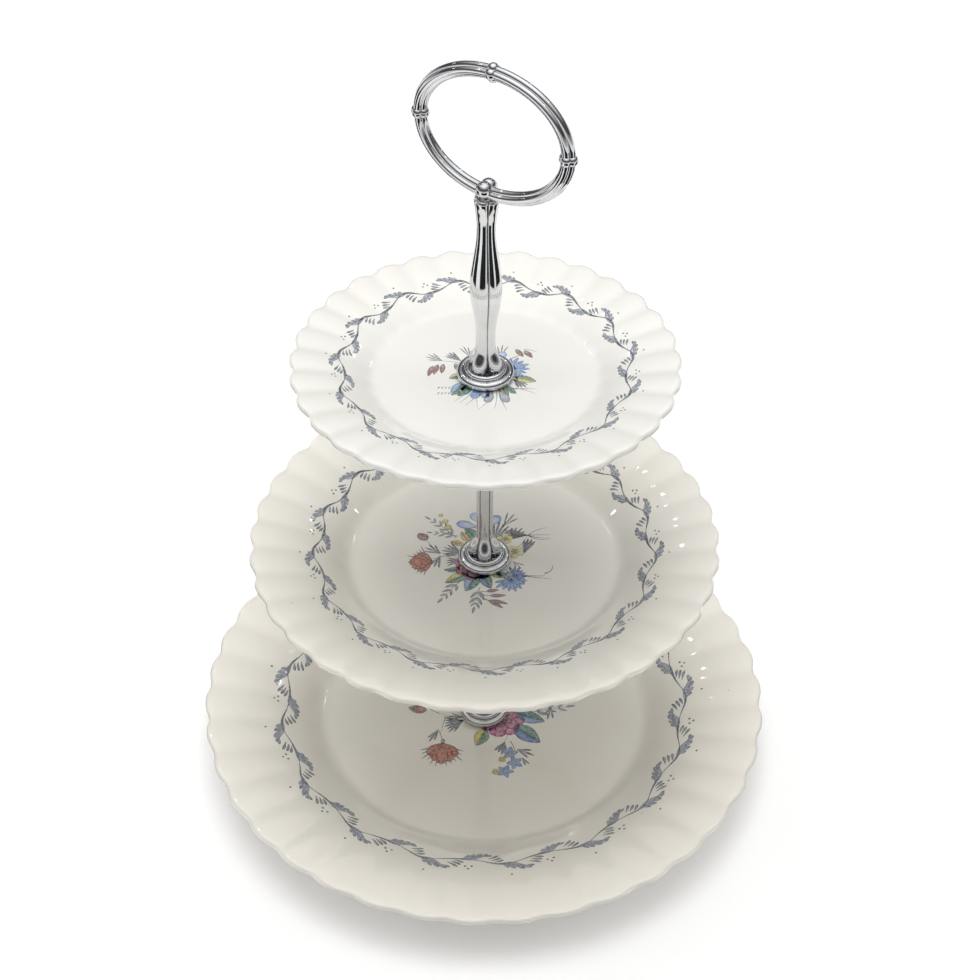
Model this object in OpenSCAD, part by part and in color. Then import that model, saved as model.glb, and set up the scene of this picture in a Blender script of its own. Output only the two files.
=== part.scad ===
// Three-tier cake stand: scalloped china plates on a screwed chrome column
// with an oval ring handle. Millimetres, +Z up, origin at the centre of the
// bottom plate's foot ring, on the table. The front is -Y.

/* [Tiers] */
// Height from one plate's flat bottom to the next plate's
tier_gap = 103.6; // [75:0.1:130]

/* [Bottom plate] */
// Radius to the tips of the scallops
bottom_r = 134; // [115:0.5:165]
// Height of the rim above the flat bottom
bottom_rise = 19.4; // [12:0.1:26]
// Radius of the flat bottom
bottom_well_r = 74; // [60:0.5:88]
// Number of scallops
bottom_lobes = 39; // [30:1:44]

/* [Middle plate] */
// Radius to the tips of the scallops
middle_r = 104; // [88:0.5:116]
// Height of the rim above the flat bottom
middle_rise = 16.8; // [10:0.1:22]
// Radius of the flat bottom
middle_well_r = 57.5; // [45:0.5:68]
// Number of scallops
middle_lobes = 36; // [28:1:40]

/* [Top plate] */
// Radius to the tips of the scallops
top_r = 79.5; // [68:0.5:90]
// Height of the rim above the flat bottom
top_rise = 9.5; // [7:0.1:14]
// Radius of the flat bottom
top_well_r = 44; // [36:0.5:54]
// Number of scallops
top_lobes = 32; // [24:1:36]

/* [China] */
// Thickness of the flat bottom
china_t = 4.2; // [3:0.1:6]
// Thickness at the rim
rim_t = 3.2; // [2.4:0.1:4]
// Depth of the scallops
scallop = 1.6; // [0.8:0.1:2.2]
// Height of the foot ring below the underside
foot_h = 4.2; // [3.8:0.1:7]
// Width of the foot ring
foot_w = 3; // [2:0.1:5]
// How far the flat bottom runs on before it bends up, as a share of the side's width
bend_out = 0.12; // [0.05:0.01:0.25]
// Where the side would meet the rim, as a share of its width
rim_in = 0.2; // [0.15:0.01:0.45]
// Where the side would meet the rim, as a share of its rise
rim_up = 0.62; // [0.5:0.01:0.75]
// Radius of the drilled centre hole
plate_hole_r = 4.2; // [3.6:0.1:6]

/* [Thread] */
// Outside radius of the thread
thread_r = 2; // [1.6:0.05:2.4]
// Pitch of the thread
thread_pitch = 0.7; // [0.5:0.05:0.8]
// Turns of thread held in each socket
thread_turns = 10; // [6:1:12]
// Radial play of the thread in its socket
thread_play = 0.05; // [0.02:0.01:0.1]
// Spare depth at the blind end of a socket
socket_spare = 1; // [0.5:0.1:2]

/* [Washers] */
// Gap between a soft washer and the collar's lip round it
washer_gap = 0.5; // [0.3:0.1:1.5]
// Thickness of the soft washers
soft_t = 0.8; // [0.5:0.1:1.5]
// Play of the washer's sleeve in the plate
sleeve_play = 0.1; // [0.05:0.05:0.3]
// Radius of the steel washer under the stand
steel_r = 6.6; // [5.5:0.1:8]
// Thickness of the steel washer
steel_t = 0.9; // [0.5:0.1:1.5]

/* [Base screw] */
// Radius of the screw head
head_r = 4.4; // [3.4:0.1:5.5]
// Thickness of the screw head
head_t = 1.7; // [1.4:0.1:2]
// Width of the driver slot
slot_w = 0.9; // [0.6:0.1:1.4]
// Depth of the driver slot
slot_depth = 0.9; // [0.5:0.1:1.2]

/* [Collars] */
// Outside radius of a collar
collar_r = 11.9; // [11:0.1:15]
// Radius of the rolled lip's section
lip_r = 1.9; // [1.5:0.1:2]
// Gap between the raised inner ring and the toes that stand inside it
toe_gap = 0.3; // [0.2:0.05:0.6]
// Radius of the raised inner ring's section
dish_bead_r = 1.1; // [0.8:0.1:1.2]
// Height of the seat in the middle of a collar
seat_h = 3.4; // [2.8:0.1:4]
// Radius of the support under a raised plate
support_r = 9; // [7.8:0.1:12]
// Thickness of the support
support_t = 2.6; // [2:0.1:4]

/* [Rods] */
// Radius of one reed of the rods
reed_r = 1.95; // [1.8:0.05:2.2]
// Distance of a reed from the rod's axis
reed_offset = 1.75; // [1.6:0.05:2]
// Radius of a toe at the foot of a rod or handle
toe_r = 3.1; // [2.8:0.05:3.75]
// Distance of a toe from the axis
toe_offset = 4.3; // [4:0.05:4.5]
// Height of the flare from the toes to the shaft
toe_flare = 9; // [7:0.1:12]

/* [Handle] */
// Height of the stem above its collar's seat
stem_h = 79.6; // [66:0.1:95]
// Radius of the lower neck
neck_low_r = 3.9; // [3.6:0.05:4.4]
// Height of the lower neck as a share of the stem
neck_low_at = 0.21; // [0.18:0.01:0.26]
// Radius of the swell
swell_r = 6.45; // [5.6:0.05:7]
// Height of the swell as a share of the stem
swell_at = 0.49; // [0.42:0.01:0.56]
// Radius of the upper neck
neck_high_r = 3.6; // [3.4:0.05:4]
// Height of the upper neck as a share of the stem
neck_high_at = 0.83; // [0.74:0.01:0.86]
// Radius of the stem's top end
stem_top_r = 4.6; // [4.2:0.05:5]
// Depth of the grooves between the stem's lobes
groove_depth = 1.15; // [0.5:0.05:1.3]
// Width of the ring along the middle of its strands
ring_w = 64; // [54:0.5:76]
// Height of the ring along the middle of its strands
ring_h = 49; // [44:0.5:58]
// Offset of the ring's centre from the stem's axis, along its width
ring_shift = 2.6; // [-4:0.1:4]
// Radius of the bundle of four strands that makes the ring
strands_r = 2.8; // [2.4:0.05:3.2]
// Radius of the beads on the ring's sides and top
bead_r = 3.7; // [3.4:0.05:4.2]
// Radius of the bead that joins the ring to the stem
knob_r = 4.4; // [4.2:0.05:5]
// Depth of the cup in the stem's end that the bead sits in
cup_depth = 2; // [1:0.1:3]
// Turn of the handle about the column
handle_turn = -33; // [-180:1:180]

/* [Hidden] */
$fn = 64;

china = [0.9, 0.89, 0.85];
chrome = [0.75, 0.76, 0.78];
steel = [0.6, 0.61, 0.62];
soft = [0.85, 0.84, 0.8];

// Grip of a thread in its socket, and the room it turns in
grip = thread_turns * thread_pitch;
socket_r = thread_r + thread_play;

// Heights of the three flat bottoms
bottom_z = foot_h + china_t;
middle_z = bottom_z + tier_gap;
top_z = middle_z + tier_gap;

// Heights above a flat bottom: the collar's underside, then its seat
collar_base = soft_t;
seat = collar_base + seat_h;

// Height below a flat bottom of the rod's top end
rod_drop = china_t + soft_t + support_t;

// Height of the big bead's centre above the stem's end
knob_z = knob_r - cup_depth;

// The soft washers lie inside the collars' lips
soft_r = collar_r - 2 * lip_r - washer_gap;

// The raised ring of a collar just clears the toes
dish_r = toe_offset + sqrt(pow(toe_r + dish_bead_r + toe_gap, 2) - pow(toe_r, 2));

// Groove cutter of the stem
groove_r = 1.6;

// Height of a lip's centre, as a share of its collar's seat height
lip_share = 0.44;

// Foot of a support's taper, as a share of its radius
taper_share = 0.6;

// Lower end of a toe's cone, as a share of the toe's ball
cone_share = 0.93;

// Points along a plate's curve, and angles between the points of its rim's edge
curve_steps = 14;
edge_step = 18;

// How far the turned rim runs past the scallops, so that they cut it all round
tip_spare = 0.2;

// Length of stud fixed in the top of a rod
stud_hold = 9;

// Slices that the oval ring is blended from, and their thickness
ring_slices = 48;
slice_t = 0.4;

// How far cuts run past a face
past = 1;

// ---------------------------------------------------------------- plates

function blend(a, b, t) = a + (b - a) * t;

// Point on the curve from the flat bottom up to the rim, at t from 0 to 1
function dish_point(r, well_r, rise, t) =
    let (
        w = r - well_r,
        x = 3 * pow(1 - t, 2) * t * bend_out + 3 * (1 - t) * t * t * rim_in + t * t * t,
        y = 3 * (1 - t) * t * t * rim_up + t * t * t
    )
    [well_r + w * x, rise * y];

// Radius of the arc that makes one scallop
function scallop_arc(r, lobes) =
    let (a = 180 / lobes, v = r - scallop, x = r - v * cos(a))
    (x * x + pow(v * sin(a), 2)) / (2 * x);

module plate_section(r, well_r, rise) {
    edge = rim_t / 2;
    last = 90 - edge_step;
    upper = [for (i = [0:curve_steps])
        dish_point(r - edge, well_r, rise, i / curve_steps)];
    round_edge = [for (a = [last:-edge_step:-last])
        [r - edge + edge * cos(a), rise - edge + edge * sin(a)]];
    lower = [for (i = [curve_steps:-1:0])
        dish_point(r - edge, well_r, rise, i / curve_steps)
            - [0, blend(china_t, rim_t, i / curve_steps)]];
    foot = [
        [well_r, -china_t - foot_h],
        [well_r - foot_w, -china_t - foot_h],
        [well_r - foot_w, -china_t]
    ];
    hole = [[plate_hole_r, -china_t], [plate_hole_r, 0]];
    polygon(concat(upper, round_edge, lower, foot, hole));
}

module scalloped_outline(r, lobes) {
    arc_r = scallop_arc(r, lobes);
    circle(r - arc_r, $fn = 128);
    for (i = [0:lobes - 1])
        rotate(i * 360 / lobes)
            translate([r - arc_r, 0])
                circle(arc_r, $fn = 128);
}

module plate(z, r, well_r, rise, lobes) {
    color(china)
        translate([0, 0, z])
            intersection() {
                rotate_extrude($fn = 128)
                    plate_section(r + tip_spare, well_r, rise);
                translate([0, 0, -china_t - foot_h - past])
                    linear_extrude(china_t + foot_h + rise + 2 * past)
                        scalloped_outline(r, lobes);
            }
}

module bottom_plate() { plate(bottom_z, bottom_r, bottom_well_r, bottom_rise, bottom_lobes); }
module middle_plate() { plate(middle_z, middle_r, middle_well_r, middle_rise, middle_lobes); }
module top_plate() { plate(top_z, top_r, top_well_r, top_rise, top_lobes); }

// --------------------------------------------------------------- washers

// Soft washer under a plate, with a sleeve that centres the plate on the thread
module washer_below(z) {
    color(soft)
        translate([0, 0, z - china_t])
            difference() {
                union() {
                    translate([0, 0, -soft_t])
                        cylinder(h = soft_t, r = soft_r);
                    cylinder(h = china_t, r = plate_hole_r - sleeve_play);
                }
                translate([0, 0, -soft_t - past])
                    cylinder(h = china_t + soft_t + 2 * past, r = socket_r);
            }
}

// Flat soft washer between a plate and its collar
module washer_above(z) {
    color(soft)
        translate([0, 0, z])
            difference() {
                cylinder(h = soft_t, r = soft_r);
                translate([0, 0, -past])
                    cylinder(h = soft_t + 2 * past, r = socket_r);
            }
}

module bottom_washer_below() { washer_below(bottom_z); }
module bottom_washer_above() { washer_above(bottom_z); }
module middle_washer_below() { washer_below(middle_z); }
module middle_washer_above() { washer_above(middle_z); }
module top_washer_below() { washer_below(top_z); }
module top_washer_above() { washer_above(top_z); }

// ------------------------------------------------------------ base screw

module base_washer() {
    color(steel)
        translate([0, 0, foot_h - soft_t - steel_t])
            difference() {
                cylinder(h = steel_t, r = steel_r);
                translate([0, 0, -past])
                    cylinder(h = steel_t + 2 * past, r = socket_r);
            }
}

module base_screw() {
    head_top = foot_h - soft_t - steel_t;
    color(steel) {
        difference() {
            union() {
                translate([0, 0, head_top - head_t])
                    cylinder(h = head_t, r = head_r);
                translate([0, 0, head_top])
                    cylinder(h = bottom_z + seat + grip - head_top, r = thread_r);
            }
            translate([-head_r - past, -slot_w / 2, head_top - head_t - past])
                cube([2 * (head_r + past), slot_w, slot_depth + past]);
        }
    }
}

// --------------------------------------------------------------- collars

// Stepped disc above a plate: rolled lip, groove and raised ring round a seat
module collar(z) {
    lip_at = collar_r - lip_r;
    lip_z = seat_h * lip_share;
    color(chrome)
        translate([0, 0, z + collar_base])
            difference() {
                union() {
                    cylinder(h = lip_z, r = lip_at);
                    cylinder(h = seat_h, r = dish_r);
                    translate([0, 0, lip_z])
                        rotate_extrude()
                            translate([lip_at, 0])
                                circle(lip_r, $fn = 32);
                    translate([0, 0, seat_h])
                        rotate_extrude()
                            translate([dish_r, 0])
                                circle(dish_bead_r, $fn = 32);
                }
                translate([0, 0, -past])
                    cylinder(h = seat_h + 2 * past, r = socket_r);
            }
}

module bottom_collar() { collar(bottom_z); }
module middle_collar() { collar(middle_z); }
module top_collar() { collar(top_z); }

// Tapered disc at a rod's top end, under the plate that the rod holds up
module support(z) {
    color(chrome)
        translate([0, 0, z - rod_drop])
            difference() {
                union() {
                    cylinder(h = support_t / 2, r1 = support_r * taper_share, r2 = support_r);
                    translate([0, 0, support_t / 2])
                        cylinder(h = support_t / 2, r = support_r);
                }
                translate([0, 0, -past])
                    cylinder(h = support_t + 2 * past, r = socket_r);
            }
}

module middle_support() { support(middle_z); }
module top_support() { support(top_z); }

// ------------------------------------------------------------------ rods

// Section of four round reeds
module reeds() {
    for (a = [0:90:270])
        rotate(a)
            translate([reed_offset, 0])
                circle(reed_r);
    circle(reed_offset);
}

// Four toes that flare out of a shaft, standing on z = 0
module toes() {
    lean = atan((toe_offset - reed_offset) / toe_flare);
    cylinder(h = toe_r, r = toe_offset);
    for (a = [0:90:270])
        rotate(a)
            translate([toe_offset, 0, toe_r]) {
                sphere(toe_r);
                rotate([0, -lean, 0])
                    cylinder(h = toe_flare / cos(lean), r1 = toe_r * cone_share, r2 = reed_r);
            }
}

module thread_socket() {
    translate([0, 0, -past])
        cylinder(h = grip + socket_spare + past, r = socket_r);
}

// Rod from a collar's seat up to the next plate's support
module rod(z) {
    length = tier_gap - seat - rod_drop;
    color(chrome)
        translate([0, 0, z + seat])
            difference() {
                union() {
                    linear_extrude(length)
                        reeds();
                    intersection() {
                        toes();
                        cylinder(h = toe_r + toe_flare + toe_r, r = toe_offset + toe_r);
                    }
                }
                thread_socket();
                translate([0, 0, length - stud_hold])
                    cylinder(h = stud_hold + past, r = thread_r);
            }
}

// Threaded stud from inside a rod, up through the plate into the next socket
module stud(z) {
    color(steel)
        translate([0, 0, z - rod_drop - stud_hold])
            cylinder(h = stud_hold + rod_drop + seat + grip, r = thread_r);
}

module lower_rod() { rod(bottom_z); }
module lower_stud() { stud(middle_z); }
module upper_rod() { rod(middle_z); }
module upper_stud() { stud(top_z); }

// ---------------------------------------------------------------- handle

// Stem outline as [height share, radius], eased from one station to the next
stem_stations = [
    [0, toe_offset],
    [neck_low_at, neck_low_r],
    [swell_at, swell_r],
    [neck_high_at, neck_high_r],
    [1, stem_top_r]
];

function ease(a, b, t) = blend(a, b, (1 - cos(180 * t)) / 2);

module handle_stem() {
    steps = 8;
    side = [for (s = [0:len(stem_stations) - 2], i = [0:steps - 1])
        let (a = stem_stations[s], b = stem_stations[s + 1])
        [ease(a[1], b[1], i / steps), stem_h * blend(a[0], b[0], i / steps)]];
    color(chrome)
        translate([0, 0, top_z + seat])
            rotate(handle_turn)
                difference() {
                    union() {
                        rotate_extrude()
                            polygon(concat([[0, 0]], side, [[stem_top_r, stem_h], [0, stem_h]]));
                        intersection() {
                            toes();
                            cylinder(h = toe_r + toe_flare + toe_r, r = toe_offset + toe_r);
                        }
                    }
                    for (a = [45:90:315])
                        rotate(a)
                            translate([swell_r - groove_depth + groove_r, 0, stem_h * neck_low_at])
                                cylinder(h = stem_h * (neck_high_at - neck_low_at), r = groove_r);
                    thread_socket();
                    translate([0, 0, stem_h + knob_z])
                        sphere(knob_r);
                }
}

// Thin slice across the ring, at angle a round its oval
module ring_slice(a) {
    translate([ring_w / 2 * cos(a), ring_h / 2 * sin(a), 0])
        rotate(atan2(ring_h * cos(a), -ring_w * sin(a)))
            rotate([0, 90, 0])
                cylinder(h = slice_t, r = strands_r, center = true, $fn = 14);
}

module handle_ring() {
    step = 360 / ring_slices;
    color(chrome)
        translate([0, 0, top_z + seat + stem_h + knob_z])
            rotate(handle_turn) {
                sphere(knob_r, $fn = 32);
                translate([ring_shift, 0, ring_h / 2])
                    rotate([90, 0, 0]) {
                        for (a = [0:step:360 - step])
                            hull() {
                                ring_slice(a);
                                ring_slice(a + step);
                            }
                        for (at = [[ring_w / 2, 0], [-ring_w / 2, 0], [0, ring_h / 2]])
                            translate(at)
                                sphere(bead_r, $fn = 20);
                    }
            }
}

// ----------------------------------------------------------------- parts

bottom_plate();
bottom_washer_below();
bottom_washer_above();
base_washer();
base_screw();
bottom_collar();
lower_rod();
lower_stud();
middle_support();
middle_plate();
middle_washer_below();
middle_washer_above();
middle_collar();
upper_rod();
upper_stud();
top_support();
top_plate();
top_washer_below();
top_washer_above();
top_collar();
handle_stem();
handle_ring();
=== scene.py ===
import math
import random

import bpy
import numpy as np
from bpy.props import FloatProperty, FloatVectorProperty, IntVectorProperty, PointerProperty
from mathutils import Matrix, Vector


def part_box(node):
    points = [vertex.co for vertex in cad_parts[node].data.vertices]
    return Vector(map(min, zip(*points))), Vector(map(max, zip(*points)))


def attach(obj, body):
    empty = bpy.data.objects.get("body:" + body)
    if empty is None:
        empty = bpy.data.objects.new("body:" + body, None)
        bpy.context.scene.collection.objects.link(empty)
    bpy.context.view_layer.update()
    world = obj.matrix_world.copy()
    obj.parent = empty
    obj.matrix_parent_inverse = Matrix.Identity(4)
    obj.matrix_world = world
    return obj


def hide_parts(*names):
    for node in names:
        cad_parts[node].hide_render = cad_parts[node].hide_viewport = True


bl_info = {
    "name": "Tiered cake stand",
    "version": (1, 0, 0),
    "blender": (4, 5, 0),
    "location": "View3D > Sidebar > Cake stand",
    "description": "Builds a three-tier china cake stand with a chrome column",
    "category": "Add Mesh",
}

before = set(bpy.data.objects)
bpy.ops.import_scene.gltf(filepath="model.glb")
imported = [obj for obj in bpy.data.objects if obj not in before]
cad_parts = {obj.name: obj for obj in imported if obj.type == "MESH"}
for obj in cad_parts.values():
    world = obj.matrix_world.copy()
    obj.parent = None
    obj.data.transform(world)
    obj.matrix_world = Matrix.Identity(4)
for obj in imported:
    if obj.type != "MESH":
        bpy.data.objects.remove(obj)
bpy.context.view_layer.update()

MM = 0.001
FULL_TURN = 2 * math.pi
TIERS = ("bottom", "middle", "top")


def length(name, description, mm, **more):
    """Length setting, given in millimetres and kept in metres."""
    return FloatProperty(
        name=name, description=description, default=mm * MM, min=0,
        unit="LENGTH", subtype="DISTANCE", precision=5, **more,
    )


def colour(name, description, *shade):
    """Colour setting, given as it looks on a screen, from 0 to 255."""
    return FloatVectorProperty(
        name=name, description=description, subtype="COLOR", size=3,
        default=screen(*shade), min=0, max=1,
    )


def screen(*shade):
    """Linear colour of a shade as it looks on a screen, from 0 to 255."""
    return tuple(
        s / 255 / 12.92 if s <= 10 else ((s / 255 + 0.055) / 1.055) ** 2.4 for s in shade
    )


# ------------------------------------------------------------------ settings


class StandChina(bpy.types.PropertyGroup):
    """Sizes of the three plates, bottom plate first"""

    well_radii: FloatVectorProperty(
        name="Flat bottoms", description="Radii of the flat bottoms", size=3,
        default=(74 * MM, 57.5 * MM, 44 * MM), unit="LENGTH", subtype="XYZ_LENGTH",
    )
    lobes: IntVectorProperty(
        name="Scallops", description="Number of scallops round each plate", size=3,
        default=(39, 36, 32),
    )
    scallop: length("Scallop depth", "How far the rim dips between two scallops", 1.6)
    flute: length("Flute height", "Height of the flutes at the rim, either way", 0.4)
    thickness: length("China thickness", "Thickness of the flat bottom", 4.2)
    rim: length("Rim thickness", "Thickness at the rim", 3.2)
    foot_height: length("Foot height", "Height of the foot ring", 4.2)
    foot_width: length("Foot width", "Width of the foot ring", 3.0)
    hole: length("Hole radius", "Radius of the drilled centre hole", 4.2)


class StandPainting(bpy.types.PropertyGroup):
    """Sizes and colours of the painted decoration"""

    motifs: IntVectorProperty(
        name="Vine repeats", description="Pairs of leaves round each plate, bottom plate first",
        size=3, default=(17, 17, 15),
    )
    radii: FloatVectorProperty(
        name="Vine radii", description="Mean radii of the vines, bottom plate first", size=3,
        default=(96.5 * MM, 74.5 * MM, 58.5 * MM), unit="LENGTH", subtype="XYZ_LENGTH",
    )
    starts: FloatVectorProperty(
        name="Vine starts", description="Turn of each vine, bottom plate first", size=3,
        default=tuple(math.radians(a) for a in (0.3, 353.8, 6.0)), subtype="EULER",
    )
    slate: colour("Slate", "Body of the vine's leaves", 134, 141, 154)
    ink: colour("Ink", "Outlines and stems", 66, 72, 86)


class StandMetal(bpy.types.PropertyGroup):
    """Sizes of the chrome column and handle"""

    collar_lip: length("Lip radius", "Radius of the rolled lip's section", 1.9)
    collar_bead: length("Collar bead radius", "Radius of the raised inner ring's section", 1.1)
    reed: length("Reed radius", "Radius of one reed of the rods", 1.95)
    reed_offset: length("Reed offset", "Distance of a reed from the rod's axis", 1.75)
    toe: length("Toe radius", "Radius of a toe at the foot of a rod or the handle", 3.1)
    toe_offset: length("Toe offset", "Distance of a toe from the axis", 4.3)
    toe_flare: length("Toe flare", "Height of the flare from the toes to the shaft", 9.0)
    groove: length("Groove depth", "Depth of the grooves between the stem's lobes", 1.3)
    thread: length("Thread radius", "Outside radius of the thread", 2.0)
    pitch: length("Thread pitch", "Pitch of the thread", 0.7)
    play: length("Thread play", "Radial play of the thread in its socket", 0.05)
    ring_wide: length("Ring half width", "Half width of the oval ring", 32.0)
    ring_tall: length("Ring half height", "Half height of the oval ring", 24.5)
    ring_shift: length("Ring shift", "Offset of the ring from the stem's axis", 2.6)
    strand: length("Strand radius", "Radius of one of the ring's four strands", 1.45)
    strand_offset: length("Strand offset", "Distance of a strand from the ring's centre line", 1.4)
    bead: length("Bead radius", "Radius of the small beads of the ring", 2.2)
    heart: length("Heart radius", "Radius of the ball inside a cluster of beads", 2.5)
    knob: length("Knob radius", "Radius of the balls that join the ring to the stem", 3.3)
    handle_turn: FloatProperty(
        name="Handle turn", description="Turn of the handle about the column",
        default=math.radians(-33), subtype="ANGLE",
    )


class StandFinishes(bpy.types.PropertyGroup):
    """Colours of the finishes and the light in the studio"""

    china: colour("China", "Glazed china", 241, 240, 235)
    bare: colour("Bare china", "Unglazed foot of the plates", 214, 205, 188)
    chrome: colour("Chrome", "Chrome plating", 224, 225, 228)
    steel: colour("Plated steel", "Threads, base screw and its washer", 176, 176, 172)
    soft: colour("Soft washers", "Washers between china and metal", 226, 221, 206)
    floor: colour("Floor", "Studio floor", 248, 248, 248)
    key: FloatProperty(
        name="Key light", description="Power of the soft light overhead", default=6.0,
        min=0, unit="POWER",
    )
    fill: FloatProperty(
        name="Fill light", description="Power of the two side lights", default=2.0,
        min=0, unit="POWER",
    )


class StandSettings(bpy.types.PropertyGroup):
    """All settings of the cake stand"""

    china: PointerProperty(type=StandChina)
    painting: PointerProperty(type=StandPainting)
    metal: PointerProperty(type=StandMetal)
    finishes: PointerProperty(type=StandFinishes)


def settings():
    """The cake stand's own settings in this scene."""
    return bpy.context.scene.cake_stand


# ------------------------------------------------------------------- meshes


def span(node):
    """Lowest and highest corner of a CAD node, in millimetres."""
    low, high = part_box(node)
    return np.array(low) / MM, np.array(high) / MM


def signed_volume(points, faces):
    """Volume inside the faces: negative where they are wound inside out."""
    corners = np.array([(*face, face[-1])[:4] for face in faces])
    a, b, c, d = (points[corners[:, k]] for k in range(4))
    return float(np.sum(a * (np.cross(b, c) + np.cross(c, d)))) / 6


class Blank:
    """Points and faces of a piece, added shell by shell."""

    def __init__(self):
        self.points = []
        self.faces = []
        self.flat = []
        self.paint = []
        self.marks = []
        self.count = 0

    def add(self, points, faces, flat=False, paint=None, marks=0.0):
        """Adds a closed shell, turned right side out.

        flat is one flag, or one for each face. paint holds a colour for each
        point, and marks the share of each that is bare china, or chrome darkened by painted shade.
        """
        points = np.asarray(points, dtype=float)
        if signed_volume(points - points.mean(axis=0), faces) < 0:
            faces = [tuple(reversed(f)) for f in faces]
        self.faces += [tuple(int(i) + self.count for i in f) for f in faces]
        self.flat += list(flat) if hasattr(flat, "__len__") else [flat] * len(faces)
        self.points.append(points)
        if paint is not None:
            self.paint.append(np.asarray(paint, dtype=float))
        self.marks.append(np.broadcast_to(np.asarray(marks, dtype=float), len(points)))
        self.count += len(points)

    def piece(self, name, material, body, slot, nodes=()):
        """Makes the object, gives it its finish and joins it to its body."""
        mesh = bpy.data.meshes.new(name)
        mesh.from_pydata((np.concatenate(self.points) * MM).tolist(), [], self.faces)
        mesh.polygons.foreach_set("use_smooth", [not f for f in self.flat])
        if self.paint:
            layer = mesh.color_attributes.new("paint", "FLOAT_COLOR", "POINT")
            shades = np.concatenate(self.paint)
            shades = np.hstack([shades, np.ones((len(shades), 1))])
            layer.data.foreach_set("color", shades.ravel())
        marks = np.concatenate(self.marks)
        if marks.any():
            layer = mesh.attributes.new("mark", "FLOAT", "POINT")
            layer.data.foreach_set("value", marks)
        mesh.materials.append(bpy.data.materials[material])
        made = bpy.data.objects.new(name, mesh)
        bpy.context.collection.objects.link(made)
        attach(made, body)
        if nodes:
            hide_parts(*nodes)


def grid(rows, columns, wrap_rows, wrap_columns=True):
    """Quads between the points of a grid that is stored row by row."""
    last_row = rows if wrap_rows else rows - 1
    last_column = columns if wrap_columns else columns - 1
    i, j = np.meshgrid(np.arange(last_row), np.arange(last_column), indexing="ij")
    i2 = (i + 1) % rows
    j2 = (j + 1) % columns
    quads = np.stack([i * columns + j, i * columns + j2, i2 * columns + j2, i2 * columns + j], -1)
    return quads.reshape(-1, 4).tolist()


def angles_round(columns):
    """Angles of columns that stand evenly round the axis."""
    return np.arange(columns) / columns * FULL_TURN


def turned(blank, stations, columns, turn=0.0, bored=True, mark=None):
    """Adds a piece turned about +Z. A station is a radius, or one for each column, and a height.

    A bored piece runs from its last station back to its first; any other is
    closed by a point on the axis at each end. mark gives the marked share of
    a row from its radii and heights.
    """
    around = angles_round(columns) + turn
    rows, marks = [], []
    for radius, height in stations:
        reach = np.broadcast_to(np.asarray(radius, dtype=float), columns)
        level = np.broadcast_to(np.asarray(height, dtype=float), columns)
        rows.append(np.stack([reach * np.cos(around), reach * np.sin(around), level], -1))
        marks.append(mark(reach, level) if mark else np.zeros(columns))
    points, marks = np.concatenate(rows), np.concatenate(marks)
    faces = grid(len(rows), columns, bored)
    if not bored:
        ends = [rows[0][:, 2].mean(), rows[-1][:, 2].mean()]
        points = np.vstack([points, [[0, 0, ends[0]], [0, 0, ends[1]]]])
        marks = np.append(marks, (0, 0))
        first, top = len(points) - 2, (len(rows) - 1) * columns
        for j in range(columns):
            after = (j + 1) % columns
            faces.append((first, after, j))
            faces.append((first + 1, top + j, top + after))
    blank.add(points, faces, marks=marks)


def valleys(reach, _level):
    """Share of a row darkened by painted shade: the narrow bottoms of its grooves."""
    low, high = reach.min(), reach.max()
    deep = smooth_step((high - low - 0.15) / 0.3)
    return deep * (1 - smooth_step((reach - low) / (0.32 * (high - low) + 0.001)))


def arc(centre_r, centre_z, radius, start, end, count):
    """Stations along an arc, from one angle in degrees to another."""
    angles = np.radians(np.linspace(start, end, count))
    return [(centre_r + radius * math.cos(a), centre_z + radius * math.sin(a)) for a in angles]


def smooth_step(t):
    """Eases from 0 at 0 to 1 at 1, and stays inside them."""
    t = np.clip(t, 0, 1)
    return t * t * (3 - 2 * t)


def ball(blank, centre, radius, rings=14, columns=24):
    """Adds a ball as one more shell."""
    stations = arc(0, 0, radius, -90 + 180 / rings, 90 - 180 / rings, rings - 1)
    part = Blank()
    turned(part, stations, columns, bored=False)
    points = part.points[0]
    points[-2:, 2] = (-radius, radius)
    blank.add(points + np.asarray(centre), part.faces)


# -------------------------------------------------------------------- china


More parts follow.
